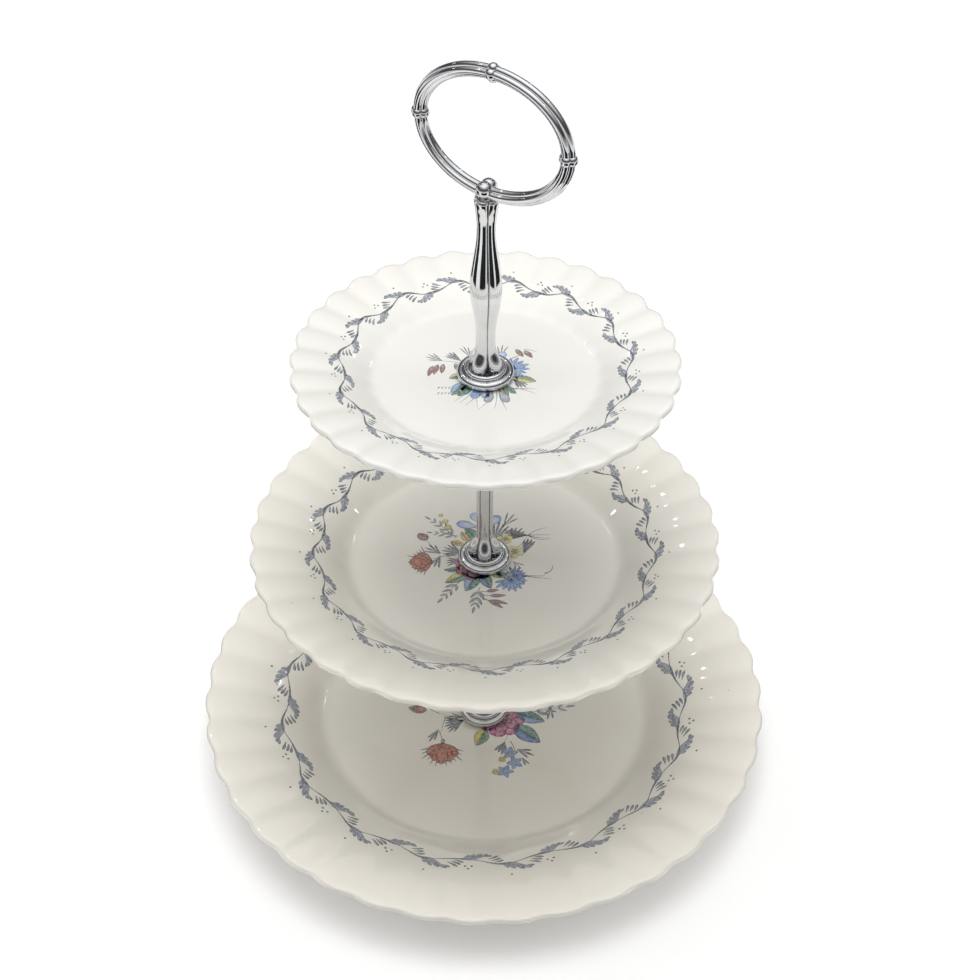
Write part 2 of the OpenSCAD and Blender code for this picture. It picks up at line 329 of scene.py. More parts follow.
class Dish:
    """Shape of one plate, in millimetres, with heights above its flat bottom."""

    # Pulls of the side's curve: outwards at its foot, then inwards and up at the rim
    bend_out, rim_in, rim_up = 0.2, 0.2, 0.62
    # Radius round the hole that stays flat, and how uneven the firing leaves the rest
    seat, warp = 14, 0.09

    def __init__(self, tier):
        china = settings().china
        low, high = span(f"{tier}_plate")
        index = TIERS.index(tier)
        self.level = span(f"{tier}_washer_above")[0][2]
        self.radius = high[0]
        self.rise = high[2] - self.level
        self.well = china.well_radii[index] / MM
        self.lobes = china.lobes[index]
        self.phase = index * 1.7
        self.scallop, self.flute = china.scallop / MM, china.flute / MM
        self.thick, self.rim = china.thickness / MM, china.rim / MM
        shares = np.linspace(0, 1, 200)
        self.table = (self.out(shares), shares)

    def out(self, t):
        """Share of the side's width at t along its curve."""
        return 3 * (1 - t) ** 2 * t * self.bend_out + 3 * (1 - t) * t**2 * self.rim_in + t**3

    def up(self, t):
        """Share of the side's rise at t along its curve."""
        return 3 * (1 - t) * t**2 * self.rim_up + t**3

    def wave(self, angle):
        """Round of the scallops, from 0 in a notch to 1 on a tip."""
        turn = self.lobes * np.asarray(angle)
        return (np.cos(turn) - 0.15 * np.cos(2 * turn) + 1.15) / 2

    def edge(self, angle):
        """Radius of the centre of the rim's rounded edge."""
        return self.radius - self.scallop * (1 - self.wave(angle)) - self.rim / 2

    def fluting(self, t, angle):
        """Height of the flutes at t along the side."""
        depth = self.flute * (0.32 * smooth_step(t / 0.25) + 0.68 * smooth_step((t - 0.45) / 0.5))
        return depth * (2 * self.wave(angle) - 1)

    def settle(self, reach, angle):
        """Slight unevenness of the fired flat bottom, none under the collar."""
        share = np.clip((reach - self.seat) / (self.well - self.seat), 0, 1)
        return self.warp * share * np.sin(2 * angle + self.phase + 2.2 * share)

    def upper(self, t, angle):
        """Radius and height of the upper face at t along the side."""
        reach = self.well + (self.edge(angle) - self.well) * self.out(t)
        height = self.rise * self.up(t) + self.fluting(t, angle)
        return reach, height + self.settle(self.well, angle) * (1 - smooth_step(t * 2))

    def height(self, x, y):
        """Height of the upper face at a place on the plate."""
        reach, angle = np.hypot(x, y), np.arctan2(y, x)
        share = (reach - self.well) / (self.edge(angle) - self.well)
        t = np.interp(share, *self.table)
        side = self.rise * self.up(t) + self.fluting(t, angle)
        level = self.settle(np.minimum(reach, self.well), angle) * (1 - smooth_step(t * 2))
        return self.level + side + level


def plate_stations(dish, angle):
    """Stations of a plate's section at every angle, from the hole round to the hole."""
    china = settings().china
    hole, foot = china.hole / MM, china.foot_height / MM
    inner = dish.well - china.foot_width / MM
    half = dish.rim / 2
    stations = [(hole, -0.35), (hole + 0.12, -0.1), (hole + 0.35, 0.0)]
    for reach in np.linspace(7, dish.well, 12):
        stations.append((reach, dish.settle(reach, angle)))
    for t in np.linspace(0, 1, 40)[1:]:
        stations.append(dish.upper(t, angle))
    edge = dish.edge(angle)
    middle = dish.rise - half + dish.fluting(1.0, angle)
    for a in np.radians(np.arange(72, -89, -18)):
        stations.append((edge + half * math.cos(a), middle + half * math.sin(a)))
    for t in np.linspace(1, 0, 30)[:-1]:
        reach, height = dish.upper(t, angle)
        drop = dish.thick + (dish.rim - dish.thick) * t
        stations.append((reach, height - drop))
    under = -dish.thick
    bottom = under - foot
    stations.append((dish.well + 0.15, under - 0.5))
    stations.append((dish.well, under - 1.2))
    stations += arc(dish.well - 0.9, bottom + 0.9, 0.9, 0, -90, 5)
    stations += arc(inner + 0.9, bottom + 0.9, 0.9, -90, -180, 5)
    stations.append((inner, under - 1.4))
    stations += arc(inner - 1.2, under - 1.2, 1.2, 0, 90, 5)
    for reach in np.linspace(inner - 8, hole + 0.4, 6):
        stations.append((reach, under))
    stations.append((hole, under + 0.4))
    return stations


class STAND_OT_plates(bpy.types.Operator):
    """Throw the three scalloped and fluted china plates"""

    bl_idname = "cake_stand.plates"
    bl_label = "China plates"

    def execute(self, context):
        for tier in TIERS:
            dish = Dish(tier)
            columns = dish.lobes * 14
            stations = [(reach, height + dish.level)
                        for reach, height in plate_stations(dish, angles_round(columns))]
            blank = Blank()
            # The foot ring stands on bare china
            bare = dish.level - dish.thick - settings().china.foot_height / MM + 0.7
            turned(blank, stations, columns, mark=lambda _, level: (level < bare) * 1.0)
            blank.piece(f"{tier}_china", "Glazed china", f"{tier}_tier", "china",
                        [f"{tier}_plate"])
        return {"FINISHED"}


# ----------------------------------------------------------------- painting


def along(count):
    """Shares of the way along a stroke, from 0 to 1."""
    return np.linspace(0, 1, count)


def polar(centre, reach, heading):
    """Place at a distance from a centre, towards a heading in degrees."""
    away = math.radians(heading)
    return centre[0] + reach * math.cos(away), centre[1] + reach * math.sin(away)


def beside(path, closed=False):
    """Unit steps to the left of a path, at each of its points."""
    if closed:
        ahead = np.roll(path, -1, axis=0) - np.roll(path, 1, axis=0)
    else:
        ahead = np.gradient(path, axis=0)
    ahead /= np.maximum(np.linalg.norm(ahead, axis=1, keepdims=True), 1e-9)
    return np.stack([-ahead[:, 1], ahead[:, 0]], -1)


def stroll(start, heading, distance, bend, count):
    """Points along a curve that starts with a heading and bends evenly, in degrees."""
    angle = np.radians(heading + bend * along(count))
    step = distance / (count - 1)
    x = start[0] + np.concatenate([[0], np.cumsum(np.cos(angle[:-1]) * step)])
    y = start[1] + np.concatenate([[0], np.cumsum(np.sin(angle[:-1]) * step)])
    return np.stack([x, y], -1)


def willow(t):
    """Width along a leaf with two points."""
    return np.sin(np.pi * t**0.85) ** 0.85


def spoon(t):
    """Width along a petal that is narrow at its base and round at its tip."""
    return (0.16 + 0.84 * smooth_step(t / 0.62)) * np.sqrt(np.clip(1 - t**5, 0, 1))


def finger(t):
    """Width along a tooth of a leaf, from its root to its pointed tip."""
    return (0.3 + 0.7 * smooth_step(t / 0.7)) * np.clip(1 - t**6, 0, 1) ** 0.8


def whip(t):
    """Width along a stroke that thins out."""
    return 1 - 0.75 * t


class Brush:
    """Lays thin enamel strokes over the glaze of one plate."""

    # Depth of a stroke into the glaze, height of each coat, and of the first over the glaze
    sink, coat, film = 0.06, 0.012, 0.013
    # Width of the thinnest line
    finest = 0.05

    def __init__(self, dish, seed):
        self.dish = dish
        self.blank = Blank()
        self.chance = random.Random(seed)
        self.dice = np.random.default_rng(seed)
        self.ink = np.array(settings().painting.ink)
        self.slate = np.array(settings().painting.slate)

    def lay(self, x, y, layer):
        """Heights of the enamel's face and of its underside, just inside the glaze."""
        level = self.dish.height(x, y)
        return level + self.film + self.coat * layer, level - self.sink

    def stroke(self, path, width, core, edge=None, layer=0, across=2, closed=False, tip=None):
        """A stroke along a path. Its colour runs from core to edge, and to tip at its end."""
        count = len(path)
        width = np.maximum(np.broadcast_to(width, count), self.finest)
        s = np.linspace(-1, 1, across + 1)
        out = s[None, :, None] * width[:, None, None] / 2
        flat = path[:, None, :] + beside(path, closed)[:, None, :] * out
        x, y = flat[..., 0], flat[..., 1]
        over, under = self.lay(x, y, layer)
        upper = np.stack([x, y, over], -1)
        lower = np.stack([x, y, under], -1)[:, ::-1]
        loop = np.concatenate([upper, lower], axis=1)
        size = loop.shape[1]
        faces, flats = [], []
        for i in range(count if closed else count - 1):
            j = (i + 1) % count
            for k in range(size):
                m = (k + 1) % size
                faces.append((i * size + k, i * size + m, j * size + m, j * size + k))
                flats.append(k >= across)
        if not closed:
            for row, turn in ((0, 1), (count - 1, -1)):
                for k in range(across):
                    quad = (row * size + k, row * size + size - 1 - k,
                            row * size + size - 2 - k, row * size + k + 1)
                    faces.append(quad[::turn])
                    flats.append(True)
        core = np.asarray(core, dtype=float)
        edge = core if edge is None else np.asarray(edge, dtype=float)
        share = (np.abs(s) ** 2.5)[None, :, None]
        shade = np.broadcast_to(core * (1 - share) + edge * share, (count, across + 1, 3))
        if tip is not None:
            late = smooth_step((along(count) - 0.55) / 0.45)[:, None, None]
            shade = shade * (1 - late) + np.asarray(tip, dtype=float) * late
        shade = shade * self.dice.uniform(0.88, 1.12, shade.shape[:2] + (1,))
        shade = np.concatenate([shade, shade[:, ::-1]], axis=1)
        self.blank.add(loop.reshape(-1, 3), faces, flats, shade.reshape(-1, 3))

    def dot(self, x, y, radius, shade, layer=0):
        """A round touch of the brush."""
        angle = angles_round(10)
        reach = radius * self.dice.uniform(0.85, 1.15, 10)
        px, py = x + reach * np.cos(angle), y + reach * np.sin(angle)
        over, under = self.lay(np.append(px, x), np.append(py, y), layer)
        points = np.vstack([
            np.stack([px, py, over[:-1]], -1), np.stack([px, py, under[:-1]], -1),
            [[x, y, over[-1] + 0.01], [x, y, under[-1]]],
        ])
        faces, flats = [], []
        for k in range(10):
            m = (k + 1) % 10
            faces += [(k, m, 20), (m, k, k + 10, m + 10), (m + 10, k + 10, 21)]
            flats += [False, True, True]
        self.blank.add(points, faces, flats, np.tile(np.asarray(shade), (22, 1)))

    def leaf(self, start, heading, distance, width, left, right, bend=0.0, layer=1):
        """A two-toned leaf with an inked outline and midrib."""
        path = stroll(start, heading, distance, bend, 16)
        t = along(16)
        self.stroke(path, width * willow(t) + 0.3, self.ink * 1.2, layer=layer, across=4)
        for sign, shade in ((1, left), (-1, right)):
            half = path + beside(path) * (sign * width * willow(t) / 4)[:, None]
            shade = np.asarray(shade)
            self.stroke(half, width * willow(t) / 2 - 0.08, shade, shade * 0.7,
                        layer + 1, across=3, tip=shade * 0.55)
        self.stroke(path[:13], 0.22 * whip(t[:13]), self.ink, layer=layer + 2)
        for share in (0.28, 0.48, 0.66):
            spot = path[int(share * 15)]
            for sign in (1, -1):
                vein = stroll(spot, heading + bend * share + sign * 38,
                              width * 0.42 * willow(np.array(share)), -sign * 12, 5)
                self.stroke(vein, 0.14 * whip(along(5)), self.ink * 1.3, layer=layer + 2)

    def petal(self, start, heading, distance, width, core, edge, bend=0.0, layer=2, form=spoon):
        """A petal with an inked outline and fine strokes along it."""
        path = stroll(start, heading, distance, bend, 14)
        t = along(14)
        self.stroke(path, width * form(t) + 0.28, np.asarray(edge) * 0.55, layer=layer, across=4)
        self.stroke(path, width * form(t) - 0.1, core, edge, layer + 1, across=6, tip=edge)
        for sign in (-1, 0, 1):
            line = stroll(start, heading + sign * 9, distance * 0.72, bend * 0.7, 8)
            self.stroke(line, 0.15 * whip(along(8)), np.asarray(edge) * 0.6, layer=layer + 2)

    def spray(self, start, heading, distance, spread, count, width, layer=0):
        """A fan of pointed strokes from one root: a feathery leaf."""
        for k in range(count):
            lean = (k / (count - 1) - 0.5) * spread
            reach = distance * (1 - 0.25 * abs(lean) / spread) * self.chance.uniform(0.9, 1.1)
            path = stroll(start, heading + lean, reach, lean * 0.3, 10)
            self.stroke(path, width * finger(along(10)), self.slate, self.ink * 1.25, layer,
                        across=2, tip=self.ink * 0.9)

    def stem(self, start, heading, distance, bend=0.0, width=0.42):
        """A thin stem; returns its end."""
        path = stroll(start, heading, distance, bend, 16)
        self.stroke(path, width * whip(along(16)), self.ink * 1.35)
        return path[-1]

    def sprig(self, start, heading, distance, pairs, size, bend=0.0):
        """A stem with pairs of small grey leaves."""
        path = stroll(start, heading, distance, bend, 24)
        self.stroke(path, 0.36 * whip(along(24)), self.ink * 1.4)
        for k in range(pairs):
            share = (k + 0.8) / (pairs + 0.4)
            spot = path[int(share * 23)]
            for sign in (1, -1):
                reach = size * (1.1 - 0.45 * share) * self.chance.uniform(0.85, 1.15)
                self.petal_leaf(spot, heading + bend * share + sign * 42, reach, reach * 0.3,
                                -sign * 22, 1)
        self.petal_leaf(path[-1], heading + bend, size * 0.8, size * 0.24, 0, 1)

    def petal_leaf(self, start, heading, distance, width, bend, layer):
        """A small grey leaf, dark at its edge and tip."""
        t = along(9)
        self.stroke(stroll(start, heading, distance, bend, 9), width * willow(t),
                    self.slate * 1.25, self.ink, layer, across=4, tip=self.ink * 0.9)

    def bud(self, start, heading, distance, width, shade, layer=2):
        """A slim bud with a grey calyx and a dark tip."""
        shade = np.asarray(shade)
        t = along(12)
        path = stroll(start, heading, distance, self.chance.uniform(-14, 14), 12)
        self.stroke(path, width * willow(t) + 0.24, self.ink, layer=layer, across=4)
        self.stroke(path, width * willow(t) - 0.12, shade, shade * 0.62, layer + 1, across=4,
                    tip=self.ink * 1.3)
        self.stroke(path[:6], width * 0.42 * willow(along(6)), self.slate, layer=layer + 2)

    def blossom(self, centre, radius, petals, core, edge, heart, turn=0.0, layer=2):
        """A round open flower with a dotted heart."""
        for k in range(petals):
            heading = turn + k * 360 / petals
            self.petal(polar(centre, 0.12 * radius, heading), heading, radius * 0.9,
                       radius * 3.6 / petals, core, edge, layer=layer)
        self.dot(*centre, radius * 0.24, heart, layer + 3)
        for k in range(6):
            self.dot(*polar(centre, radius * 0.36, turn + k * 60), radius * 0.06 + 0.08,
                     self.ink, layer + 4)

    def thistle(self, start, heading, size, core, edge, layer=1):
        """A ragged blue flower seen from the side, over a scaly calyx."""
        rings = ((1.0, 150, 9), (0.78, 110, 8), (0.5, 70, 6))
        for ring, (reach, spread, count) in enumerate(rings):
            shade = np.asarray(core) * (0.85 + 0.25 * ring)
            for k in range(count):
                lean = (k / (count - 1) - 0.5) * spread
                distance = size * reach * self.chance.uniform(0.85, 1.1)
                path = stroll(start, heading + lean, distance, lean * 0.25, 10)
                width = size * 0.2 * finger(along(10))
                self.stroke(path, width + 0.2, np.asarray(edge) * 0.6,
                            layer=layer + ring * 2, across=2)
                self.stroke(path, width - 0.1, shade, edge, layer + 1 + ring * 2, across=2)
        self.petal_leaf(start, heading + 180, size * 0.55, size * 0.34, 0, layer + 7)

    def tulip(self, start, heading, size, core, edge, layer=1):
        """An orange flower seen from the side: five broad petals and ragged stamens."""
        self.spray(start, heading, size * 1.12, 116, 13, size * 0.06, layer)
        for lean, reach, width in ((-52, 0.8, 0.42), (52, 0.84, 0.42), (-24, 0.9, 0.4),
                                   (26, 0.93, 0.42), (0, 1.0, 0.5)):
            self.petal(start, heading + lean, size * reach, size * width, core, edge,
                       bend=-lean * 0.55, layer=layer + 1 + (abs(lean) < 40) + (lean == 0))
        self.petal_leaf(start, heading + 180, size * 0.22, size * 0.16, 0, layer + 5)

    def rose(self, centre, radius, core, edge, layer=1):
        """A full rose of overlapping petals, darker towards its heart."""
        core, edge = np.asarray(core), np.asarray(edge)
        rings = ((1.0, 7, 0.62), (0.74, 6, 0.6), (0.48, 5, 0.58), (0.26, 3, 0.6))
        for ring, (reach, count, share) in enumerate(rings):
            tone = 1 - 0.17 * ring
            for k in range(count):
                heading = k * 360 / count + ring * 27
                self.petal(polar(centre, radius * reach * 0.25, heading), heading,
                           radius * reach * 0.75, radius * reach * share * 1.25,
                           core * tone, edge * tone, layer=layer + ring * 2)
        self.dot(*centre, radius * 0.1, edge * 0.4, layer + 9)


# Teeth of a vine leaf: share along the blade, lean in degrees, length and width
TEETH = ((0.3, 62, 4.0, 1.5), (0.46, 56, 5.2, 1.7), (0.63, 47, 5.8, 1.9), (0.8, 34, 5.4, 1.8),
         (0.97, 13, 4.8, 1.7))


def vine(brush, radius, motifs, start):
    """Paints a sinuous vine with leaves and dots to either side."""
    repeat = FULL_TURN * radius / motifs
    # The leaves are drawn for one repeat of a certain length, and scaled to this one
    scale = repeat / 35.7

    def place(path):
        """Where a path on the unrolled border lies on the plate."""
        path = np.asarray(path, dtype=float)
        angle = start + path[:, 0] / radius
        reach = radius + path[:, 1]
        return np.stack([reach * np.cos(angle), reach * np.sin(angle)], -1)

    def swing(u):
        """How far the vine swings out at a length along it."""
        phase = FULL_TURN * u / repeat
        return 1.8 * np.cos(phase) + 0.25 * np.cos(2 * phase)

    u = np.arange(motifs * 44) / 44 * repeat
    thick = 0.66 + 0.3 * np.cos(2 * FULL_TURN * u / repeat + 0.9)
    brush.stroke(place(np.stack([u, swing(u)], -1)), thick, brush.ink, layer=4, across=2,
                 closed=True)
    for motif in range(motifs):
        for outer in (True, False):
            sign = 1 if outer else -1
            base = repeat * (motif + (0 if outer else 0.5)) - 0.11 * repeat
            root = (base, swing(base))
            # A blade that hugs the stem, with blunt teeth along its outer side
            blade = stroll(root, sign * 6, 13.0 * scale, sign * 20, 16)
            t = along(16)
            swell = 0.16 + 0.84 * smooth_step(t / 0.55)
            taper = 1 - 0.6 * smooth_step((t - 0.6) / 0.4)
            brush.stroke(place(blade), 3.4 * scale * swell * taper, brush.slate * 1.3,
                         brush.slate, layer=1, across=4, tip=brush.slate)
            for order, (share, lean, reach, width) in enumerate(TEETH):
                path = stroll(blade[int(share * 15)], sign * lean,
                              reach * scale * brush.chance.uniform(0.93, 1.07), -sign * 16, 12)
                brush.stroke(place(path), width * scale * finger(along(12)), brush.slate * 1.2,
                             brush.ink * 1.45, layer=2 + (order % 2), across=4,
                             tip=brush.ink * 1.25)
            keel = stroll(root, sign * 8, 10.5 * scale, sign * 22, 12)
            brush.stroke(place(keel), 0.3 * whip(along(12)), brush.ink, layer=4)
            # Small fan of strokes that follows the leaf
            for order in range(3):
                ahead = base + (0.41 + 0.038 * order) * repeat
                small = (ahead, swing(ahead) + sign * (2.6 - 0.8 * order) * scale)
                path = stroll(small, sign * (20 - 5 * order), (5.6 - 0.5 * order) * scale,
                              sign * 18, 10)
                brush.stroke(place(path), 1.5 * scale * finger(along(10)), brush.slate,
                             brush.ink, layer=1, across=2, tip=brush.ink)
            if outer:
                spots = [(base + 0.17 * repeat, 9.8)]
            else:
                spots = [(base + 0.13 * repeat, 3.7), (base + 0.21 * repeat, 3.5),
                         (base + 0.17 * repeat, 5.4)]
            for ahead, away in spots:
                x, y = place([(ahead, away * scale)])[0]
                brush.dot(x, y, 0.56 * scale, brush.ink, 1)


TEAL, GREEN, LEMON = screen(66, 138, 128), screen(96, 146, 116), screen(216, 200, 104)
AZURE, SKY, PALE = screen(96, 130, 190), screen(142, 172, 218), screen(200, 214, 234)
RUST, CORAL, CLAY = screen(150, 70, 50), screen(184, 96, 68), screen(160, 102, 86)
MAGENTA, PINK = screen(156, 52, 108), screen(206, 122, 168)
CREAM = screen(226, 220, 158)


def middle_flowers(brush):
    """Large bouquet round the middle collar."""
    brush.sprig((-13, 14), 128, 17, 4, 4.6, bend=14)
    for x, y, r in ((-20.4, 29, 0.9), (-18.2, 25, 1.35), (-16.8, 21, 1.5)):
        brush.dot(x, y, r + 0.2, brush.ink * 1.5, 2)
        brush.dot(x, y, r, LEMON, 3)
        brush.dot(x + 0.1, y + 0.2, r * 0.4, CREAM, 4)
    brush.sprig((-12, 15), 166, 12, 3, 3.8, bend=6)
    end = brush.stem((-13, 2), 172, 11, bend=-34)
    brush.stem(end, 118, 8.5, bend=14)
    brush.bud((-26.2, 12.2), 128, 6.2, 4.4, RUST)
    brush.bud((-26.6, 12.6), 148, 5.4, 3.0, CORAL, 4)
    brush.spray((-20, 3.5), 142, 8, 48, 4, 1.0)
    brush.stem((-16, 3), 206, 10, bend=-12)
    brush.tulip((-23.6, -1.5), 184, 10.5, CORAL, RUST)
    brush.spray((-20, 2), 250, 8.5, 30, 3, 1.1)
    brush.spray((-10.5, 4), 163, 9, 66, 6, 1.15)
    brush.spray((-10.5, -1), 186, 7.5, 40, 4, 1.0)
    brush.petal((-3, 21), 163, 10.5, 5.4, PALE, AZURE)
    brush.petal((-2, 24), 118, 8, 5, PALE, SKY)
    brush.petal((2.6, 22), 62, 8.4, 5, PALE, AZURE)
    brush.leaf((-3.5, 13), 118, 9.5, 5, TEAL, GREEN, bend=20)
    brush.leaf((-7, 11.5), 126, 7.5, 3.4, LEMON, screen(226, 176, 96), bend=-14)
    brush.leaf((-9.5, 9.5), 158, 6.4, 3.2, screen(222, 170, 92), LEMON, bend=12)
    brush.spray((4, 12), 72, 15, 52, 6, 1.25)
    brush.spray((8.5, 22), 58, 11, 34, 3, 0.9)
    brush.spray((12, 14), 52, 9, 62, 5, 1.1)
    end = brush.stem((11, 4), 38, 15, bend=34)
    for heading, bend in ((48, -38), (6, -8), (-44, 66), (-24, 30)):
        brush.stem(end, heading, 10.5, bend=bend, width=0.5)
    brush.spray(end, 176, 11, 38, 6, 1.1)
    brush.spray((17.5, 3.5), 72, 11, 26, 4, 1.5)
    brush.blossom((9.2, 13.4), 3.7, 5, CREAM, LEMON, brush.slate, 20)
    brush.blossom((13.6, 5.0), 4.4, 5, CREAM, LEMON, brush.slate, 52)
    brush.spray((13, -1.5), -52, 6, 46, 3, 0.7)
    brush.thistle((11.5, -12), -74, 8.5, SKY, AZURE)
    brush.thistle((12.8, -11), 22, 6.2, AZURE, screen(74, 104, 166))
    brush.stem((15, -10), -8, 12, bend=12, width=0.8)
    brush.stem((26.8, -9), 14, 7, bend=88, width=0.7)
    brush.stem((17, -10.5), -12, 12.5, bend=8, width=0.55)
    brush.spray((6.5, -7.5), -42, 7, 24, 3, 0.8)
    brush.rose((-4.5, -4.5), 9.4, PINK, MAGENTA)
    brush.leaf((-9, -6), 196, 9.2, 3.2, TEAL, GREEN, bend=-22)
    brush.leaf((-6.5, -9), 206, 12.6, 5.6, GREEN, LEMON, bend=8)
    brush.leaf((-3.4, -8.8), 250, 12.6, 6.6, TEAL, SKY, bend=-6)
    brush.leaf((-0.8, -9), 286, 10.4, 5.2, GREEN, AZURE, bend=10)
    brush.leaf((3.0, -7.6), 318, 6.4, 3.4, GREEN, LEMON, bend=-10)
    brush.leaf((5.2, -7.2), 312, 7.0, 2.6, TEAL, GREEN, bend=-8)
    brush.leaf((9.4, 0.5), 250, 7.4, 2.8, LEMON, GREEN)
    brush.sprig((-10.6, -14), 232, 13, 3, 5.2, bend=4)
    brush.sprig((-2.2, -18), 262, 12, 3, 5.4, bend=-4)
    for x, y, heading, distance in ((-1.6, -20.6, 4, 8.4), (-1, -22.4, -10, 11),
                                    (-1, -24.4, -22, 12.4), (-1.2, -24, -36, 12)):
        brush.stem((x, y), heading - 8, distance * 0.5, bend=16)
        brush.bud(polar((x, y), distance * 0.3, heading), heading + 6, distance * 0.66, 1.9, CLAY)


def top_flowers(brush):
    """Small bouquet round the top collar."""
    end = brush.stem((-9, 8), 158, 9, bend=20)
    for x, y, heading, distance in ((-17.4, 8, 264, 6.4), (-19.6, 7.6, 256, 7),
                                    (-21.6, 6.6, 252, 7.2), (-12.6, 8.4, 290, 6.2)):
        brush.bud((x, y), heading, distance, 2.1, CLAY)
    brush.spray(end, 150, 7.5, 40, 4, 0.7)
    brush.spray((-10, 10), 138, 8, 30, 4, 1.0)
    brush.spray((-6, 12), 112, 9, 22, 3, 0.6)
    brush.spray((6, 13), 82, 9, 30, 3, 0.6)
    for x, y, heading in ((12.6, 18.4, 300), (16, 17.4, 310)):
        brush.bud((x, y), heading, 6, 2.3, CLAY)
    brush.stem((10, 11), 44, 11, bend=-30)
    brush.stem((16, 18), 6, 6, bend=-50)
    brush.thistle((9.4, 5), 20, 8.4, SKY, AZURE)
    brush.petal((4, 10), 58, 7.5, 4.2, PALE, SKY)
    brush.petal((-3, 11), 108, 7, 4, PALE, AZURE)
    brush.leaf((11.8, -1), -10, 9.2, 4.2, GREEN, LEMON, bend=-14)
    brush.spray((11.4, -2), -52, 7.6, 34, 4, 1.1)
    brush.stem((11, -8), -4, 10.5, bend=-40)
    brush.stem((12, -8.6), 8, 9, bend=-18)
    brush.leaf((-9.6, 0.6), 196, 5.8, 3.4, GREEN, LEMON, bend=24)
    brush.leaf((-8.4, -4.6), 232, 9.8, 5.2, GREEN, SKY, bend=14)
    brush.leaf((-6.6, -6.6), 244, 8.2, 4.6, TEAL, GREEN, bend=-18)
    brush.petal((-2.6, -8), 252, 7.4, 4, SKY, AZURE)
    brush.petal((-1, -8.6), 284, 6.4, 3.6, PALE, AZURE)
    brush.leaf((1, -8.6), 262, 6.6, 2.6, TEAL, GREEN)
    brush.leaf((6.2, -6.8), 290, 7, 3.6, GREEN, LEMON, bend=12)
    brush.leaf((8.6, -6.4), 296, 6.6, 2.8, TEAL, GREEN, bend=20)
    grey = brush.slate * 1.7
    brush.petal((3, -9.4), 246, 8.6, 3.8, grey, brush.slate, bend=20)
    brush.petal((5.4, -9.4), 300, 8.8, 3.8, grey, brush.slate, bend=-16)
    for x, y, heading, distance in ((-7, -11, 226, 8), (-5.4, -11, 240, 8.6), (-4.6, -10, 284, 11),
                                    (-3.4, -13, 240, 8), (2.4, -15, 236, 9), (4.6, -10, 272, 12),
                                    (6, -15, 292, 8), (-2, -8, 308, 8)):
        brush.stem((x, y), heading, distance, bend=brush.chance.uniform(-18, 18), width=0.34)
    for row in range(2):
        for k in range(4):
            brush.petal_leaf((-14.4 - k * 1.4, -7.2 - row * 3.6), 250, 1.7, 0.6, 0, 0)


def bottom_flowers(brush):
    """Large bouquet round the bottom collar."""
    end = brush.stem((-11, -4), 186, 11, bend=-38)
    brush.stem(end, 154, 9, bend=-14)
    brush.bud((-28, 0.4), 176, 9.4, 5, RUST)
    brush.bud((-28.4, 0.6), 172, 7, 3.2, CORAL, 4)
    brush.stem((-18.6, -4), 252, 10, bend=14)
    brush.stem((-21.6, -13), 290, 8.4, bend=-14)
    brush.spray((-22, -12), 240, 8.6, 26, 3, 1.2)
    brush.tulip((-19.8, -20.4), 268, 13, CORAL, RUST)
    brush.spray((-10, -6), 204, 10.5, 62, 7, 1.3)
    brush.spray((-10, -4), 176, 8, 30, 3, 0.9)
    brush.rose((8.6, -5), 11.6, PINK, MAGENTA)
    brush.leaf((0.6, -11.4), 254, 11.4, 7, GREEN, LEMON, bend=-14)
    brush.leaf((15.4, -1.4), -18, 15.4, 7.6, TEAL, SKY, bend=-4)
    brush.leaf((15, -9), -44, 16.4, 9, TEAL, AZURE, bend=6)
    brush.sprig((22, -1), 14, 19, 3, 5.8, bend=-4)
    brush.spray((33, 2.4), 256, 7.6, 40, 3, 1.1)
    end = brush.stem((13, -11), 256, 9, bend=-10)
    brush.spray(end, 252, 8, 44, 4, 1.5)
    brush.stem((13, -19), 296, 12, bend=-30)
    brush.spray((16, -24), -24, 9, 36, 3, 1.3)
    brush.spray((18.4, -29), -60, 6.4, 20, 2, 1.1)
    for x, y, turn in ((12.6, -26.4, 10), (15, -32.2, 40), (10.4, -37.4, 70)):
        for k in range(5):
            brush.petal((x, y), turn + k * 72, 4.1, 2.2, SKY, AZURE, form=willow)
        brush.dot(x, y, 0.6, LEMON, 6)
    brush.blossom((8.9, -30.2), 1.9, 4, LEMON, screen(186, 168, 84), CREAM, 45)
    brush.blossom((5.8, -37.8), 1.9, 4, LEMON, screen(186, 168, 84), CREAM, 20)
    brush.thistle((10, 11), 48, 9, SKY, AZURE)
    brush.blossom((-4.5, 15.5), 4.4, 5, CREAM, LEMON, brush.slate, 12)
    brush.blossom((-12, 9.5), 4, 5, CREAM, LEMON, brush.slate, 40)
    brush.leaf((-2, 11), 96, 14, 5.2, TEAL, GREEN, bend=18)
    brush.leaf((3, 12), 66, 13, 5.4, GREEN, LEMON, bend=-12)
    brush.sprig((-9, 14), 128, 16, 4, 5, bend=12)
    brush.spray((14, 6), 22, 15, 42, 6, 1.2)
    brush.spray((-13, 6), 158, 12, 44, 5, 1.1)


class STAND_OT_vines(bpy.types.Operator):
    """Paint the vine border on each plate"""

    bl_idname = "cake_stand.vines"
    bl_label = "Vine borders"

    def execute(self, context):
        painting = settings().painting
        for index, tier in enumerate(TIERS):
            brush = Brush(Dish(tier), 11 + index)
            vine(brush, painting.radii[index] / MM, painting.motifs[index],
                 painting.starts[index])
            brush.blank.piece(f"{tier}_vine", "Painted enamel", f"{tier}_tier", "china")
        return {"FINISHED"}


